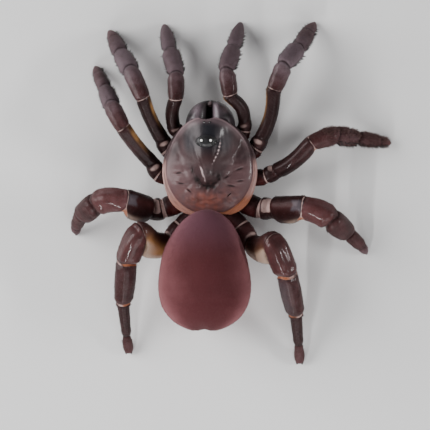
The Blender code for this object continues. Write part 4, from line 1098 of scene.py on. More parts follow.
def make_jaws():
    """Chelicerae: ovals along Y, nearly touching where they meet, with a fang folded under each."""
    shares = np.linspace(-0.5, 0.998, 110)
    columns = 120
    angle = TURN * np.arange(columns)[None] / columns
    upper = np.sin(angle) > 0.0
    half_width = np.maximum(0.03, 0.5 * (CHELICERA_OUTER_X * bulge(shares, CHELICERA_POWERS[0]) - JAW_GAP))
    half_height = CHELICERA_HALF_HEIGHT * bulge(shares, CHELICERA_POWERS[1])
    x = JAW_GAP + half_width + half_width * np.cos(angle)
    y = CHELICERA_WIDEST_Y + CHELICERA_REACH * shares[:, None] + 0.0 * angle
    z = CHELICERA_CENTRE_Z + half_height * np.sin(angle)
    z -= CHELICERA_VALLEY * bell(x, 0.0, 0.5) * upper * np.sin(angle) * half_height
    z = np.maximum(z, CHELICERA_BOTTOM + 0.1 * np.cos(angle * 3.0) ** 2)
    covered = y < CARAPACE_FRONT_Y - 0.2
    z = np.where(covered, np.minimum(z, underside_z(y) - CHELICERA_CLEARANCE), z)
    # Painted shade: near-black where the jaws face each other, all along their undersides, and in a spot at
    # each root by the shell's margin
    inner_shade = np.clip(1.0 - ease(x, 0.34, 0.62) + (1.0 - upper), 0.0, 1.0) + 0.0 * y
    groove = np.clip(inner_shade + 0.75 * bell(y, 6.9, 0.35) * bell(x, 2.5, 0.75) * upper, 0.0, 1.0)
    jaw = jaw_finish()
    fang_look = plain_finish("fang_finish", tint(14, 8, 8), tint(36, 15, 12), 1.2, 0.16, 0.6, 0.006)
    for side, hand in ((-1, "left"), (1, "right")):
        points = np.stack((x * side, y, z), -1)
        points[..., 2] += 0.03 * ripple(points, 1.6, 8)
        middle, width, rest = JAW_SHEEN[hand]
        # Painted sheen: a grey band along the top of the jaw
        painted_sheen = (bell(x, middle, width) + rest * bell(x, 2.4, 0.7)) * upper * stretch(y, 5.0, 8.6, 0.4)
        thing = skin("chelicera_skin_" + hand, points, {"groove": groove, "painted_sheen": painted_sheen})
        finished(thing, jaw, "jaws", "chelicera_" + hand)
        path = [(px * side, py, pz) for px, py, pz in FANG_PATH]
        fang = joined("fang_skin_" + hand, [tube_grid(path, FANG_RADII, 24, 60)])
        finished(fang, fang_look, "fangs", "fang_" + hand)
    # The rostrum is finished near-black and glossless: painted shade in the slit between the jaws
    black = plain_finish("rostrum_shade_finish", tint(6, 3, 4), tint(10, 5, 6), 0.6, 0.8, 0.0)
    # The knob at the jaws' tips is pale in blotches, in part a painted highlight
    grey = plain_finish("knob_highlight_finish", tint(34, 26, 28), tint(126, 104, 106), 0.45, 0.35)
    for name, ball, look in (("rostrum", ROSTRUM, black), ("jaw_knob", JAW_KNOB, grey)):
        finished(joined(name, [ball_grid(*ball, 40, 30)]), look, "jaws")


def abdomen_girth(t):
    """Girth of the egg at a share of its length: 1 - u^p under a root, u from the widest place."""
    ahead = np.clip(1.0 - t / ABDOMEN_WIDEST, 0.0, 1.0)
    behind = np.clip((t - ABDOMEN_WIDEST) / (1.0 - ABDOMEN_WIDEST), 0.0, 1.0)
    power = np.where(t < ABDOMEN_WIDEST, ahead ** ABDOMEN_FRONT_POWER, behind ** ABDOMEN_REAR_POWER)
    return np.sqrt(np.maximum(0.0, 1.0 - power))


def abdomen_marks(x, y, upper):
    """Muscle dimples above, lung plates and the cross fold between them below, each from 0 to 1."""
    pits = np.zeros_like(x)
    lungs = np.zeros_like(x)
    middle_x = x - ABDOMEN_SHIFT_X
    for side in (-1, 1):
        for pit_x, pit_y in MUSCLE_PITS:
            pits += bell(np.hypot(middle_x - side * pit_x, y - pit_y), 0.0, MUSCLE_PIT_RADIUS) * (upper > 0)
        for lung_x, lung_y in LUNG_PLATES:
            far = np.hypot((middle_x - side * lung_x) / LUNG_HALF[0], (y - lung_y) / LUNG_HALF[1])
            lungs += ease(1.15 - far, 0.0, 0.2) * (upper < 0)
    fold = bell(y, GENITAL_FOLD_Y + 0.05 * middle_x ** 2, 0.12) * (upper < 0) * (np.abs(x) < 3.4)
    return pits, lungs, fold


def make_abdomen():
    """The egg: ovals along Y with two rear lobes, muscle dimples above and lung plates below."""
    rows = 190
    columns = 160
    t = (0.5 - 0.5 * np.cos(math.pi * np.linspace(0.012, 0.991, rows)))[:, None]
    angle = TURN * np.arange(columns)[None] / columns
    around = np.cos(angle)
    upper = np.sin(angle)
    girth = abdomen_girth(t)
    sway = ABDOMEN_SHIFT_X * np.minimum(1.0, t / 0.3)
    level = ABDOMEN_FRONT_Z + (ABDOMEN_REAR_Z - ABDOMEN_FRONT_Z) * np.minimum(1.0, t / 0.6)
    x = sway + ABDOMEN_HALF_WIDTH * girth * around
    notch = ABDOMEN_NOTCH * np.maximum(0.0, (t - 0.9) / 0.1) * bell(x, sway, 0.9)
    y = ABDOMEN_FRONT_Y - ABDOMEN_LENGTH * t + notch
    pits, lungs, fold = abdomen_marks(x, y, upper)
    points = np.stack((x, y, level + ABDOMEN_HALF_HEIGHT * girth * upper), -1)
    flat = 0.0 * y
    out = unit(np.stack((around / ABDOMEN_HALF_WIDTH + flat, flat, upper / ABDOMEN_HALF_HEIGHT + flat), -1))
    relief = -0.03 * pits + 0.05 * lungs - 0.08 * fold + 0.05 * ripple(points, 3.0, 11)
    relief -= 0.04 * bell(np.sin(y * 1.9), 1.0, 0.25) * ease(upper, 0.0, 0.6) * ease(-y, 14.0, 20.0)
    points = points + out * (relief - 0.02)[..., None]
    # Painted light: lighter where the egg turns down to its sides, more on the left flank and towards the
    # front
    flank_shading = 0.9 * ease(1.0 - upper, 0.02, 0.9) + 0.3 * bell(x, -4.6, 2.0) + 0.15 * ease(y, -12.0, -6.6)
    fields = {"flank_shading": np.clip(flank_shading + 0.12 * ripple(points, 5.0, 12), 0.0, 1.0),
              "haze": ease(y, -13.5, -7.0), "plate": lungs, "groove": np.clip(fold, 0.0, 1.0)}
    finished(skin("abdomen_skin", points, fields), velvet_finish(), "abdomen", "abdomen")
    stem = [(0.0, PEDICEL_FACE_Y + along, height) for along, height in PEDICEL_STEM]
    waist = joined("waist", [tube_grid(stem, (PEDICEL_RADIUS,) * len(stem), 32, 40)])
    finished(waist, plain_finish("waist_finish", SHELL_RED, MEMBRANE_PINK, 0.8, 0.5), "abdomen")
    return points, fields


def make_spinnerets():
    """A low base, a long three-jointed pair and a short pair between them."""
    seat = np.array(SPINNERET_SEAT)
    out = np.array((0.0, -math.sqrt(0.5), -math.sqrt(0.5)))
    grids = [ball_grid(seat + out * 0.25, (1.15, 0.8, 0.75), 48, 28)]
    for side in (-1, 1):
        way = unit(np.array((0.3 * side, -1.0, -0.45)))
        for aside, reaches, radii, columns, rows in (
                (0.6, SPINNERET_LENGTH * np.array(SPINNERET_SHARES) + 0.3,
                 SPINNERET_RADIUS * np.array(SPINNERET_GIRTHS), 28, 70),
                (0.2, SHORT_PAIR_REACH, SHORT_PAIR_RADII, 20, 30)):
            root = seat + np.array((aside * side, 0.0, 0.0))
            grids.append(tube_grid([root + way * reach for reach in reaches], radii, columns, rows))
    look = plain_finish("spinneret_finish", tint(70, 48, 46), tint(112, 84, 78), 0.6, 0.6, 0.0, 0.03, 0.3)
    finished(joined("spinneret_skin", grids), look, "spinnerets", "spinnerets")


def heading(bearing, pitch):
    """Unit vector of a bearing clockwise from ahead and a pitch above level, in degrees."""
    turn = math.radians(bearing)
    rise = math.radians(pitch)
    return np.array((math.sin(turn) * math.cos(rise), math.cos(turn) * math.cos(rise), math.sin(rise)))


def limb_chain(name, kind, side):
    """Joints of a limb from the coxa's root out, and the unit vector of each segment."""
    mirror = np.array((side, 1.0, 1.0))
    end = np.array(COXA_END[kind]) * mirror + (0.0, COXA_SWING.get(name, 0.0), 0.0)
    joints = [np.array(COXA_ROOT[kind]) * mirror, end]
    ways = [unit(joints[1] - joints[0])]
    lengths = LENGTHS[kind]
    pose = POSE[name]
    tip = 0.5 * WIDTHS[kind][-1][2] * DEPTH["tarsus"] - FLAT_DEPTH
    for number, (bearing, pitch) in enumerate(pose):
        if pitch is STANDS:
            last = lengths[-1] * math.sin(math.radians(pose[-1][1]))
            pitch = math.degrees(math.asin((tip - last - joints[-1][2]) / lengths[number]))
        way = heading(bearing, pitch)
        ways.append(way)
        joints.append(joints[-1] + way * lengths[number])
    return joints, ways


def crowded(length):
    """Distances along a segment, closer together at its two joints: s - a sin(2 pi s) / (2 pi)."""
    count = int(14 + length / RING_STEP)
    share = np.arange(count) / count
    return length * (share - END_CROWDING * np.sin(TURN * share) / TURN)


def ring_normals(ways, number, along, length, widths, depth):
    """Normals of a segment's rings, which lean into the bisector of the bend at each of its joints."""
    way = ways[number]
    normal = np.repeat(way[None], len(along), 0)
    for other, distance, width in ((number - 1, along, widths[0]), (number + 1, length - along, widths[2])):
        if 0 <= other < len(ways):
            bend = math.acos(max(-1.0, min(1.0, float(way @ ways[other]))))
            girth = 0.5 * width * max(1.0, depth)
            reach = min(0.45 * length, girth * (0.35 + 1.3 * math.tan(0.5 * bend)))
            share = np.clip(1.0 - distance / reach, 0.0, 1.0)[:, None]
            normal = normal * (1.0 - share) + unit(way + ways[other]) * share
    return unit(normal)


def limb_rings(name, kind, side):
    """Everything that a limb's skin needs for each ring, as arrays over the rings."""
    parts = PALP_PARTS if kind == "palp" else LEG_PARTS
    joints, ways = limb_chain(name, kind, side)
    lengths = [float(np.linalg.norm(joints[1] - joints[0]))] + list(LENGTHS[kind])
    guide = np.array((0.0, LEAN.get(name, 0.0), 1.0))
    rings = {key: [] for key in ("part", "along", "half", "centre", "normal")}
    depths = []
    for number, (part, length, way) in enumerate(zip(parts, lengths, ways)):
        start, middle, end = WIDTHS[kind][number]
        along = crowded(length)
        tip = 1.0
        if number == 0:
            along = np.concatenate((-0.5 * start * np.sin(np.radians(ROOT_DOME)), along))
        if number == len(parts) - 1:
            tip = BLUNT_TIP.get(kind, 1.0)
            along = np.concatenate((along, length + 0.5 * end * np.sin(np.radians(TIP_DOME)) * tip))
        share = np.clip(along / length, 0.0, 1.0)
        width = (start * (1 - share) * (1 - 2 * share) + 4 * middle * share * (1 - share)
                 + end * share * (2 * share - 1))
        beyond = np.maximum(np.maximum(-along, (along - length) / tip), 0.0)
        half = 0.5 * width * np.sqrt(np.maximum(0.0, 1.0 - (beyond / (0.5 * width)) ** 2))
        depth = DEPTH[part]
        bow = belly = 0.0
        if part == "femur":
            depth = DEEP_FEMUR.get(kind, depth)
            bow = FEMUR_BOW.get(name, STRAIGHT_BOW) * side
            belly = FEMUR_BELLY[kind]
        elif part == "patella":
            belly = -PATELLA_ARCH[kind]
        depths.append(depth)
        across = unit(np.cross(way, guide))
        upper = np.cross(across, way)
        swing = np.sin(math.pi * share)[:, None]
        centre = joints[number] + way * along[:, None] + (across * bow - upper * belly) * swing
        normal = ring_normals(ways, number, along, length, WIDTHS[kind][number], depth)
        for key, values in (("part", np.full(len(along), number)), ("along", along), ("half", half),
                            ("centre", centre), ("normal", normal)):
            rings[key].append(values)
    rings = {key: np.concatenate(values) for key, values in rings.items()}
    begins = np.concatenate(([0.0], np.cumsum(lengths)))
    marks = begins + np.concatenate(([0.0], JOINT_SHIFT[name], [0.0]))
    path = begins[rings["part"]] + rings["along"]
    segment = np.searchsorted(marks[1:-1], path)
    fraction = (path - marks[segment]) / (marks[segment + 1] - marks[segment])
    rings.update(path=path, begins=begins, marks=marks, segment=segment, fraction=fraction, parts=parts,
                 lengths=lengths, depths=depths, guide=guide, joints=joints)
    if kind == "leg_4":
        round_knee(rings, ways[2], ways[3], begins[3])
    return rings


def round_knee(rings, way, next_way, begins):
    """Lead the rings near a sharp knee along an arc.

    With t the share of the way through, the arc is (1-t)^2 A + 2t(1-t) J + t^2 B about the joint J.
    """
    offset = rings["path"] - begins
    t = np.clip(0.5 + 0.5 * offset / KNEE_REACH, 0.0, 1.0)[:, None]
    near = (np.abs(offset) < KNEE_REACH)[:, None]
    arc = -KNEE_REACH * (1.0 - t) ** 2 * way + KNEE_REACH * t ** 2 * next_way
    straight = np.where(offset[:, None] < 0.0, way, next_way) * offset[:, None]
    rings["centre"] = rings["centre"] + (arc - straight) * near
    turning = (np.abs(offset) < KNEE_REACH + 0.8)[:, None]
    rings["normal"] = np.where(turning, unit(way * (1.0 - t) + next_way * t), rings["normal"])


def spread(rings, values, margin=0.25):
    """Values for each segment, at its start and its end, run over within a margin of the joint."""
    begins = rings["marks"]
    knots = []
    heights = []
    for number, value in enumerate(values):
        knots += [begins[number] + margin, begins[number + 1] - margin]
        heights += value if isinstance(value, tuple) else (value, value)
    knots[0] = -9.0             # well before the coxa's rounded root
    return np.interp(rings["path"], knots, heights)


def limb_joints(rings, kind, half, front, top, places):
    """How far the rings draw in at the joints, and where membrane, dark edges and orange sides show.

    The membrane is a band about each joint's line. It is wider below, and the pinch with it.
    """
    below = np.clip(-top, 0.0, 1.0)
    above = np.clip(top, 0.0, 1.0)
    uneven = np.clip(0.85 + 0.6 * ripple(places, 0.9, 31), 0.3, 1.0)
    pinch, flesh, groove, orange = (np.zeros_like(uneven) for _ in range(4))
    for number, (pale, neck) in enumerate(zip(PALE[kind], NECK[kind])):
        joint = 5 if kind == "palp" and number == 4 else number
        offset = (rings["path"] - rings["marks"][number + 1])[:, None] - BOWED[number] * above ** 2 * half
        deep = MEMBRANE_DEEP.get(kind, 1.0) if joint == 2 else 1.0
        fold_below = deep * MEMBRANE_BELOW[joint] * below ** 1.5 * np.minimum(1.0, half)
        inside = np.abs(offset) / (MEMBRANE[joint] * MEMBRANE_WIDE.get((kind, joint), 1.0) + fold_below)
        edge = 1.0 - ease(inside, 0.75, 1.15)
        if joint == 2:
            pale = pale + (0.9 - pale) * ease(below, 0.25, 0.6)
            orange = np.maximum(orange, edge * ease(below, 0.1, 0.5))
        if kind == "leg_4" and number in (3, 4):
            orange = np.maximum(orange, edge * ease(-front, 0.05, 0.65))
        flesh = np.maximum(flesh, pale * edge * uneven)
        groove = np.maximum(groove, (1.0 - pale) * bell(offset, 0.0, 0.1) * 0.85)
        groove = np.maximum(groove, bell(inside, 1.4, 0.3) * 0.6)
        for share, reach in NECK_SLOPES:
            slope = np.exp(-(np.abs(offset) / (reach + 0.5 * fold_below)) ** 1.8)
            pinch += share * neck * (1.0 + 0.7 * below) * slope
        pinch -= RIM_SWELL * neck * (bell(offset, -RIM_OFFSET, 0.3) + 0.6 * bell(offset, RIM_OFFSET, 0.3))
    if kind == "leg_4":
        knee = bell((rings["path"] - rings["begins"][3])[:, None], 0.0, 0.6 * KNEE_REACH)
        pinch += knee * (KNEE_FOLD * below - KNEE_SWELL * above)
    return pinch, flesh, groove, orange


def limb_surface(name, kind, side):
    """Grid of a limb's skin and its fields.

    A ring is an oval of the segment's width and depth, squared and ridged on the stout segments. It is
    pinched at each joint, more below than above, and swells to a rim just short of it.
    """
    rings = limb_rings(name, kind, side)
    parts = rings["parts"]
    angle = TURN * np.arange(LIMB_COLUMNS)[None] / LIMB_COLUMNS
    around = np.cos(angle)
    top = np.sin(angle)
    front = -side * around
    half = rings["half"][:, None]
    depth = spread(rings, rings["depths"], 0.3)[:, None]
    power = spread(rings, [SQUARENESS[part] for part in parts])[:, None]
    ridged = spread(rings, [RIDGED.get((kind, part), 0.0) for part in parts])[:, None]
    crests = bell(around, 0.48, 0.2) + bell(around, -0.48, 0.2) - 0.6 * bell(around, 0.0, 0.2)
    shape = (np.abs(around) ** power + np.abs(top) ** power) ** (-1.0 / power) + ridged * crests * (top > 0)
    places = np.stack((rings["path"][:, None] + 0.0 * around, half * around, half * top), -1)
    pinch, flesh, groove, orange = limb_joints(rings, kind, half, front, top, places)
    across = unit(np.cross(rings["normal"], rings["guide"]))
    upper = np.cross(across, rings["normal"])
    size = half * shape * (1.0 - pinch)
    centre = rings["centre"][:, None]
    points = (centre + across[:, None] * (size * around)[..., None]
              + upper[:, None] * (size * depth * top)[..., None])
    points += unit(points - centre) * (LIMB_WAVES * ripple(points, 1.4, 30))[..., None]
    points[..., 2] = np.maximum(points[..., 2], 0.0)
    fields = limb_fields(rings, kind, name, front, top, flesh)
    fields["groove"] = np.clip(groove * (1.0 - fields["flesh"]), 0.0, 1.0)
    fields["orange"] = np.clip(orange, 0.0, 1.0)
    return points, fields, rings


def patch(rings, number, low, high, band, strength, soft=0.12):
    """A stretch of one segment times a band round it, of a given strength."""
    along = stretch(rings["fraction"][:, None], low, high, soft)
    return (rings["segment"] == number)[:, None] * along * band * strength


def third_leg_fields(rings, fields, front, top, flesh):
    """Cream below, a red front and a bluish lobe on the femur, and a pale spot on the trochanter."""
    share = rings["fraction"][:, None]
    part = rings["segment"][:, None]
    forward = 0.77 * top + 0.64 * front
    skyward = ease(0.64 * top - 0.77 * front, 0.1, 0.4)
    lobe = stretch(share + 0.16 * np.abs(forward - 0.1), 0.8, 1.3, 0.03) * stretch(forward, -0.35, 0.5, 0.1)
    fields["cream"] = patch(rings, 2, 0.4, 1.0, ease(-top, 0.35, 0.7), 0.75, 0.15)
    fields["lilac"] = (part == 2) * lobe * skyward * 0.85
    fields["red"] = np.maximum(fields["red"], patch(rings, 2, 0.0, 0.9, bell(-front, 0.75, 0.25), 0.3))
    spot = (part == 1) * bell(share, 0.7, 0.55) * stretch(forward, -0.4, 0.85, 0.15) * skyward
    return np.maximum(flesh, ease(spot, 0.25, 0.7) * 0.95)


def fourth_leg_fields(rings, fields, front, top, left):
    """Cream and amber on the femur's rear face, a red root of it, and painted bluish sheen on the tibia's
    left side.
    """
    face = ease(-front, -0.15, 0.35)
    pale = ease(-top, -0.35, 0.05) * (ease(rings["fraction"][:, None], 0.3, 0.75) if left else 1.0)
    pale = np.maximum(pale, ease(-top, 0.3, 0.6))
    fields["cream"] = patch(rings, 2, 0.14, 1.0, face * pale, 0.92, 0.1)
    fields["amber"] = patch(rings, 2, -0.2, 0.95, face * bell(-top, 0.1, 0.55), 1.0 if left else 0.2, 0.15)
    fields["red"] = np.maximum(fields["red"],
                               patch(rings, 2, -0.5, 0.16, ease(-front, -0.2, 0.3), 0.9, 0.06))
    # Painted sheen: bluish grey on the spider's left side of each tibia IV, the side the light comes from
    fields["lilac"] = patch(rings, 4, 0.1, 0.9, ease(front if left else -front, 0.45, 0.85), 0.4, 0.2)


def limb_fields(rings, kind, name, front, top, flesh):
    """Where a limb is downy, pale, amber, lilac or red, and where highlights are painted, as arrays over the
    grid.
    """
    left = name.endswith("left")
    flat = 0.0 * flesh
    fields = {"down": spread(rings, DOWN[kind], 0.05)[:, None] + flat,
              "brown": spread(rings, BROWN[kind], 0.05)[:, None] + flat,
              "hair": spread(rings, HAIR[kind], 0.12)[:, None] + flat,
              "red": patch(rings, 0, -0.5, 1.0, ease(-front - 0.4 * top, 0.1, 0.8), 0.65),
              "amber": flat, "cream": flat, "lilac": flat}
    middle, reach, strength = TROCHANTER_PATCH[kind]
    oval = bell(rings["fraction"][:, None], middle, reach) * bell(front, 0.1, 0.85) * ease(top, 0.2, 0.6)
    flesh = np.maximum(flesh, (rings["segment"] == 1)[:, None] * ease(oval, 0.15, 0.9) * strength)
    if kind in ("leg_1", "leg_2"):
        limits = (0.25, 0.6) if name == "leg_2_left" else (0.5, 0.8)
        stripe = ease(front - 0.2 * np.abs(top - 0.5), *limits)
        fields["amber"] = np.maximum(patch(rings, 2, 0.35, 0.9, stripe, 0.35, 0.2),
                                     patch(rings, 2, 0.6, 0.88, stripe, 0.8 if left else 0.4, 0.08))
    if name == "palp_right":
        fields["amber"] = patch(rings, 2, 0.6, 0.95, ease(front, 0.7, 0.95), 0.6, 0.1)
    if kind == "leg_3":
        flesh = third_leg_fields(rings, fields, front, top, flesh)
    if kind == "leg_4":
        fourth_leg_fields(rings, fields, front, top, left)
    # Painted highlights: two pale stripes along the top of the patellae of legs III and IV, carried by the
    # flesh field
    if kind in ("leg_3", "leg_4"):
        painted_highlight_stripes = (bell(front, 0.45, 0.12) + bell(front, -0.45, 0.12)) * ease(top, 0.3, 0.7)
        flesh = np.maximum(flesh, patch(rings, 3, 0.15, 0.85, painted_highlight_stripes, 0.26 if kind == "leg_4" else 0.14))
    fields["flesh"] = np.clip(flesh, 0.0, 1.0)
    if name == SHAGGY_LIMB:
        fields["down"] = fields["down"] * 0.4
    fields["gloss"] = spread(rings, GLOSS[kind], 0.12)[:, None] * (1.0 - 0.7 * fields["flesh"])
    return fields


def surface_samples(points, weight, count, number):
    """Seeded places on a grid: cells drawn by area times weight, then a spot inside the cell.

    Gives the place, the outward unit vector, the unit vector along the rows, and the row and column.
    """
    draw = np.random.default_rng(SEED + number)
    after = np.roll(points, -1, axis=1)
    along = points[1:] - points[:-1]
    around = (after - points)[:-1]
    cross = np.cross(along, around)
    area = np.linalg.norm(cross, axis=-1) * weight[:-1]
    cells = draw.choice(area.size, count, p=(area / area.sum()).ravel())
    row, column = np.unravel_index(cells, area.shape)
    u = draw.uniform(size=(count, 1))
    v = draw.uniform(size=(count, 1))
    place = points[row, column] + along[row, column] * u + around[row, column] * v
    centre = points[row].mean(1)
    normal = unit(cross[row, column])
    normal *= np.sign(np.einsum("ij,ij->i", normal, place - centre))[:, None]
    return place, normal, unit(along[row, column]), row + u[:, 0], column + v[:, 0], draw


def coat(name, roots, ways, lengths, radius, spots, fields, material, slot, curl=None, sides=3):
    """Hairs as closed tapered spikes: a ring at the root, one half way where they curl, and a point.

    Each has its own patch, 0.003 across, on the OFBake map, at its root's spot on the skin's unwrap.
    """
    count = len(roots)
    guide = unit(np.cross(ways, np.array((0.31, 0.52, 0.79))))
    other = np.cross(ways, guide)
    angle = TURN * np.arange(sides) / sides
    disc = (guide[:, None] * np.cos(angle)[None, :, None] + other[:, None] * np.sin(angle)[None, :, None])
    circle = np.stack((np.cos(angle), np.sin(angle)), -1) * HAIR_PATCH
    reach = ways * lengths[:, None]
    rings = [roots[:, None] + disc * radius]
    patch = [circle]
    tips = [np.zeros(sides)]
    if curl is not None:
        rings.append((roots + 0.5 * reach + 0.25 * curl * lengths[:, None])[:, None] + disc * radius * 0.7)
        patch.append(circle * 0.5)
        tips.append(np.full(sides, 0.5))
        reach = reach + curl * lengths[:, None]
    points = np.concatenate(rings + [(roots + reach)[:, None]], 1)
    points[..., 2] = np.maximum(points[..., 2], 0.01)
    size = points.shape[1]
    last = size - 1 - sides
    here = np.arange(sides)
    after = (here + 1) % sides
    start = (np.arange(count) * size)[:, None, None]
    tops = np.stack((here + last, after + last, np.full(sides, size - 1)), -1)
    faces = [(tops[None] + start).reshape(-1, 3), (here[::-1][None] + start[:, 0]).reshape(-1, sides)]
    if last:
        walls = np.stack((here, after, after + sides, here + sides), -1)
        faces.append((walls[None] + start).reshape(-1, 4))
    thing = raw_mesh(name, points.reshape(-1, 3), faces)
    add_field(thing, "tip", np.tile(np.concatenate(tips + [np.ones(1)]), count))
    for field, values in fields.items():
        add_field(thing, field, np.repeat(values, size))
    spot = (spots[:, None] + np.concatenate(patch + [np.zeros((1, 2))])[None]).reshape(-1, 2)
    corners = np.concatenate([group.ravel() for group in faces])
    unwrap = thing.data.uv_layers.new(name="OFBake")
    unwrap.data.foreach_set("uv", spot[corners].astype(np.float32).ravel())
    return finished(thing, material, slot)


def grid_field(values, row, column):
    """A field's value at places between a grid's points, taken from the nearest one."""
    columns = values.shape[1]
    return values[np.round(row).astype(int).clip(0, len(values) - 1),
                  np.round(column).astype(int) % columns]


def grid_spots(points, row, column):
    """Places on the skin's unwrap: rows up and columns across, kept clear of the border."""
    rows, columns = points.shape[:2]
    return 0.01 + 0.98 * np.stack((column / columns, row / rows), -1)


def grow(name, points, samples, sort, ways, share, fields, material, slot, curl=None):
    """A coat of one sort of hair on a skin, each hair as long as a draw times a share."""
    place, normal, _, row, column, draw = samples
    count, radius, shortest, longest, depth = sort
    lengths = draw.uniform(shortest, longest, count) * share
    marks = {key: grid_field(values, row, column) for key, values in fields.items()}
    coat(name, place - normal * depth, unit(ways), lengths, radius, grid_spots(points, row, column),
         marks, material, slot, curl)


def make_limb(name, kind, side, looks):
    """A limb's skin from the coxa to the tip, its hairs, bristles, thorns and claws."""
    points, fields, rings = limb_surface(name, kind, side)
    marks = {key: fields[key] for key in MARKS}
    limb = skin(name + "_skin", points, {**marks, "gloss": fields["gloss"]})
    finished(limb, looks["limb"], "femora", *[name + "_" + node for node in NODES])
    number = 100 + list(POSE).index(name) * 10
    count = LIMB_HAIRS[0]
    weight = fields["hair"] * (1.0 - 0.9 * fields["flesh"]) * (1.0 - 0.8 * fields["groove"])
    weight[rings["path"] < 1.5] = 0.0
    weight[rings["path"] > rings["begins"][-1] - 0.1] *= 0.3
    samples = surface_samples(points, weight, count, number)
    _, normal, along, row, _, draw = samples
    ways = along + normal * draw.uniform(0.08, 0.4, (count, 1)) + draw.normal(0.0, 0.12, (count, 3))
    grow(name + "_hairs", points, samples, LIMB_HAIRS, ways, np.where(row > len(points) - 14, 0.5, 1.0),
         marks, looks["hair"], "tarsi")
    if name == SHAGGY_LIMB:
        make_fringe(name, points, marks, rings, number + 2, looks["shaggy"])
    count = BRISTLES[0]
    weight = np.clip(fields["hair"] + 0.2, 0.0, 1.0) * (rings["path"] > 4.0)[:, None]
    samples = surface_samples(points, weight, count, number + 1)
    _, normal, along, row, _, draw = samples
    ways = along * 0.8 + normal * draw.uniform(0.35, 0.8, (count, 1))
    grow(name + "_bristles", points, samples, BRISTLES, ways, np.where(row > len(points) - 20, 0.4, 1.0),
         {}, looks["bristle"], "tarsi", -normal * 0.2)
    if kind in ("palp", "leg_1", "leg_2"):
        make_thorns(name, points, rings, looks["thorn"])
    if kind != "palp":
        make_claws(name, kind, rings["joints"][-1], looks["claw"])


def make_fringe(name, points, marks, rings, number, material):
    """Standing golden-tipped hairs along the upper side from the patella to the foot."""
    count = FRINGE[0]
    patella = rings["begins"][3]
    foot = rings["begins"][-1] - 0.3
    along_limb = ease(rings["path"], patella + 1.2, patella + 2.2)
    along_limb *= 1.0 - 0.8 * ease(rings["path"], foot, foot + 0.4)
    outward_side = ease(points[..., 1] - points.mean(1)[:, None, 1], -0.3, 0.8)
    samples = surface_samples(points, along_limb[:, None] * (0.25 + outward_side), count, number)
    place, normal, along, _, _, draw = samples
    clump = np.stack([ripple(place, 0.5, 40 + k) for k in range(3)], -1)
    ways = along * 0.45 + normal + 0.9 * clump + draw.normal(0.0, 0.12, (count, 3))
    grow(name + "_fringe", points, samples, FRINGE, ways, 1.0, marks, material, "tarsi", along * 0.25)


def make_thorns(name, points, rings, material):
    """Short stout thorns in rows along both lower edges of the tibia and of what follows it."""
    last = len(rings["parts"]) - 1
    roots, normals, alongs, spots = [], [], [], []
    draw = np.random.default_rng(SEED + 500 + list(POSE).index(name))
    centre = points.mean(1)
    for part in range(rings["parts"].index("tibia"), last + 1):
        rows = np.flatnonzero(rings["part"] == part)
        reach = 0.55 if part == last else 0.92
        per_row = int(4 + THORNS_PER_MM * rings["lengths"][part] * reach)
        for tilt in THORN_ANGLES:
            shares = (np.arange(per_row) + draw.uniform(0.2, 0.8, per_row)) / per_row
            chosen = rows[((0.08 + (reach - 0.08) * shares) * (len(rows) - 1)).astype(int)]
            turned = (tilt + draw.normal(0.0, 3.0, per_row)) / 360.0 * LIMB_COLUMNS
            column = np.round(turned).astype(int) % LIMB_COLUMNS
            here = points[chosen, column]
            roots.append(here)
            normals.append(unit(here - centre[chosen]))
            alongs.append(unit(centre[np.minimum(chosen + 1, len(centre) - 1)] - centre[chosen - 1]))
            spots.append(grid_spots(points, chosen.astype(float), column.astype(float)))
    roots, normals, alongs, spots = (np.concatenate(v) for v in (roots, normals, alongs, spots))
    count = len(roots)
    lengths = draw.uniform(*THORN_LENGTHS, count)
    ways = unit(normals + alongs * draw.uniform(0.4, 0.8, (count, 1)))
    coat(name + "_thorns", roots - normals * THORN_SINK, ways, lengths, THORN_RADIUS, spots, {}, material,
         "tarsi", alongs * 0.15, 6)


def make_claws(name, kind, tip, material):
    """Two curved claws at the tip of a foot."""
    bearing = POSE[name][-1][0]
    up = np.array((0.0, 0.0, CLAW_ARCH))
    girths = np.array(CLAW_RADII) * STOUT_CLAWS.get(kind, 1.0)
    grids = []
    for side in (-1, 1):
        way = heading(bearing + CLAW_SPREAD * side, CLAW_PITCH) * CLAW_LENGTH[kind]
        root = tip + heading(bearing + 90.0, 0.0) * side * CLAW_APART[kind]
        path = [root + way * share + up * (math.sin(math.pi * share) - share) for share in CLAW_SHARES]
        grids.append(np.maximum(tube_grid(path, girths, 14, 26), (-99.0, -99.0, 0.01)))
    finished(joined(name + "_claws", grids), material, "tarsi")


def make_abdomen_coat(points, fields, material):
    """Short velvet over the whole egg, lying to the rear."""
    count = VELVET[0]
    samples = surface_samples(points, np.ones(points.shape[:2]), count, 60)
    _, normal, along, row, _, draw = samples
    ways = along + normal * draw.uniform(0.12, 0.5, (count, 1)) + draw.normal(0.0, 0.15, (count, 3))
    grow("abdomen_hairs", points, samples, VELVET, ways,
         np.where((row < 10) | (row > len(points) - 12), 0.4, 1.0), fields, material, "abdomen")


def make_floor():
    """A wide pale floor just below the level that the feet stand on."""
    corners = np.array([(x * FLOOR_HALF, y * FLOOR_HALF, -FLOOR_GAP)
                        for x, y in ((-1, -1), (1, -1), (1, 1), (-1, 1))])
    floor = raw_mesh("floor", corners, [np.array(((0, 1, 2, 3),))], False)
    look = Finish("floor_finish", Roughness=0.9, IOR=1.3)
    colour = look.mix(look.noise(60.0, 2.0), tint(243, 242, 241), tint(250, 250, 250))
    floor.data.materials.append(look.paint(Base_Color=colour))


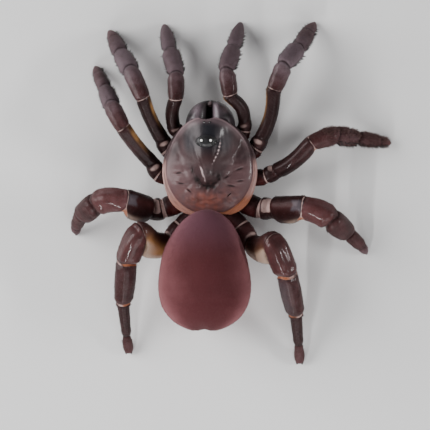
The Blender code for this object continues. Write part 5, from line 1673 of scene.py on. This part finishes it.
def stood(name, data, place, right, up, back):
    """A light or a camera in the scene at a place, facing away from the last of its three axes."""
    thing = bpy.data.objects.new(name, data)
    bpy.context.scene.collection.objects.link(thing)
    turn = Matrix(np.stack((right, up, back), -1).tolist()).to_4x4()
    thing.matrix_world = Matrix.Translation(placed(place).tolist()) @ turn
    return thing


def make_light(name, place, wide, long, power):
    """A soft oval of light, aimed at the spider, whose second side runs fore and aft."""
    light = bpy.data.lights.new(name, "AREA")
    light.shape = "ELLIPSE"
    light.size = wide * MM
    light.size_y = long * MM
    light.energy = power
    back = unit(np.array(place) - np.array(LIGHT_TARGET))
    right = unit(np.cross((0.0, 1.0, 0.0), back))
    stood(name, light, np.array(place), right, np.cross(back, right), back)


def make_stage():
    """Floor, soft studio light and a pale surround."""
    make_floor()
    for light in LIGHTS:
        make_light(*light)
    world = bpy.data.worlds.new("pale_surround")
    world.use_nodes = True
    ground = world.node_tree.nodes["Background"]
    ground.inputs["Color"].default_value = SURROUND
    ground.inputs["Strength"].default_value = SURROUND_STRENGTH
    bpy.context.scene.world = world


def make_camera():
    """The camera above the spider, tipped to its right by the photo's angle, image up along +Y."""
    tilt = math.radians(VIEW_TILT)
    right = np.array((math.cos(tilt), 0.0, -math.sin(tilt)))
    back = np.array((math.sin(tilt), 0.0, math.cos(tilt)))
    pixel = VIEW_WIDTH / PHOTO_WIDTH
    x = ((VIEW_CENTRE[0] - VIEW_ORIGIN[0]) * pixel + VIEW_LEVEL * math.sin(tilt)) / math.cos(tilt)
    y = (VIEW_ORIGIN[1] - VIEW_CENTRE[1]) * pixel
    camera = bpy.data.cameras.new("camera")
    camera.sensor_width = SENSOR
    camera.lens = SENSOR * VIEW_DISTANCE / VIEW_WIDTH
    camera.clip_start = 0.01
    camera.clip_end = 10.0
    place = np.array((x, y, VIEW_LEVEL)) + back * VIEW_DISTANCE
    bpy.context.scene.camera = stood("camera", camera, place, right, (0.0, 1.0, 0.0), back)


def main():
    """Build the stage, the body and the ten limbs."""
    make_camera()
    make_stage()
    make_shell()
    make_eyes()
    make_underside()
    make_jaws()
    points, fields = make_abdomen()
    make_spinnerets()
    looks = {"limb": limb_finish(),
             "hair": hair_finish("hair_finish", limb_colour, tint(118, 92, 92), 0.5),
             "shaggy": hair_finish("shaggy_finish", limb_colour, tint(150, 116, 108), 0.5),
             "bristle": plain_finish("bristle_finish", tint(18, 11, 12), tint(40, 26, 26), 0.4, 0.35),
             "thorn": plain_finish("thorn_finish", tint(12, 8, 9), tint(26, 17, 18), 0.4, 0.3),
             "claw": plain_finish("claw_finish", tint(24, 14, 14), tint(62, 40, 38), 0.5, 0.35)}
    make_abdomen_coat(points, fields, hair_finish("velvet_hair_finish", velvet_colour,
                                                  tint(128, 84, 84), 0.4))
    for name in POSE:
        kind, hand = name.rsplit("_", 1)
        make_limb(name, kind, -1 if hand == "left" else 1, looks)


main()
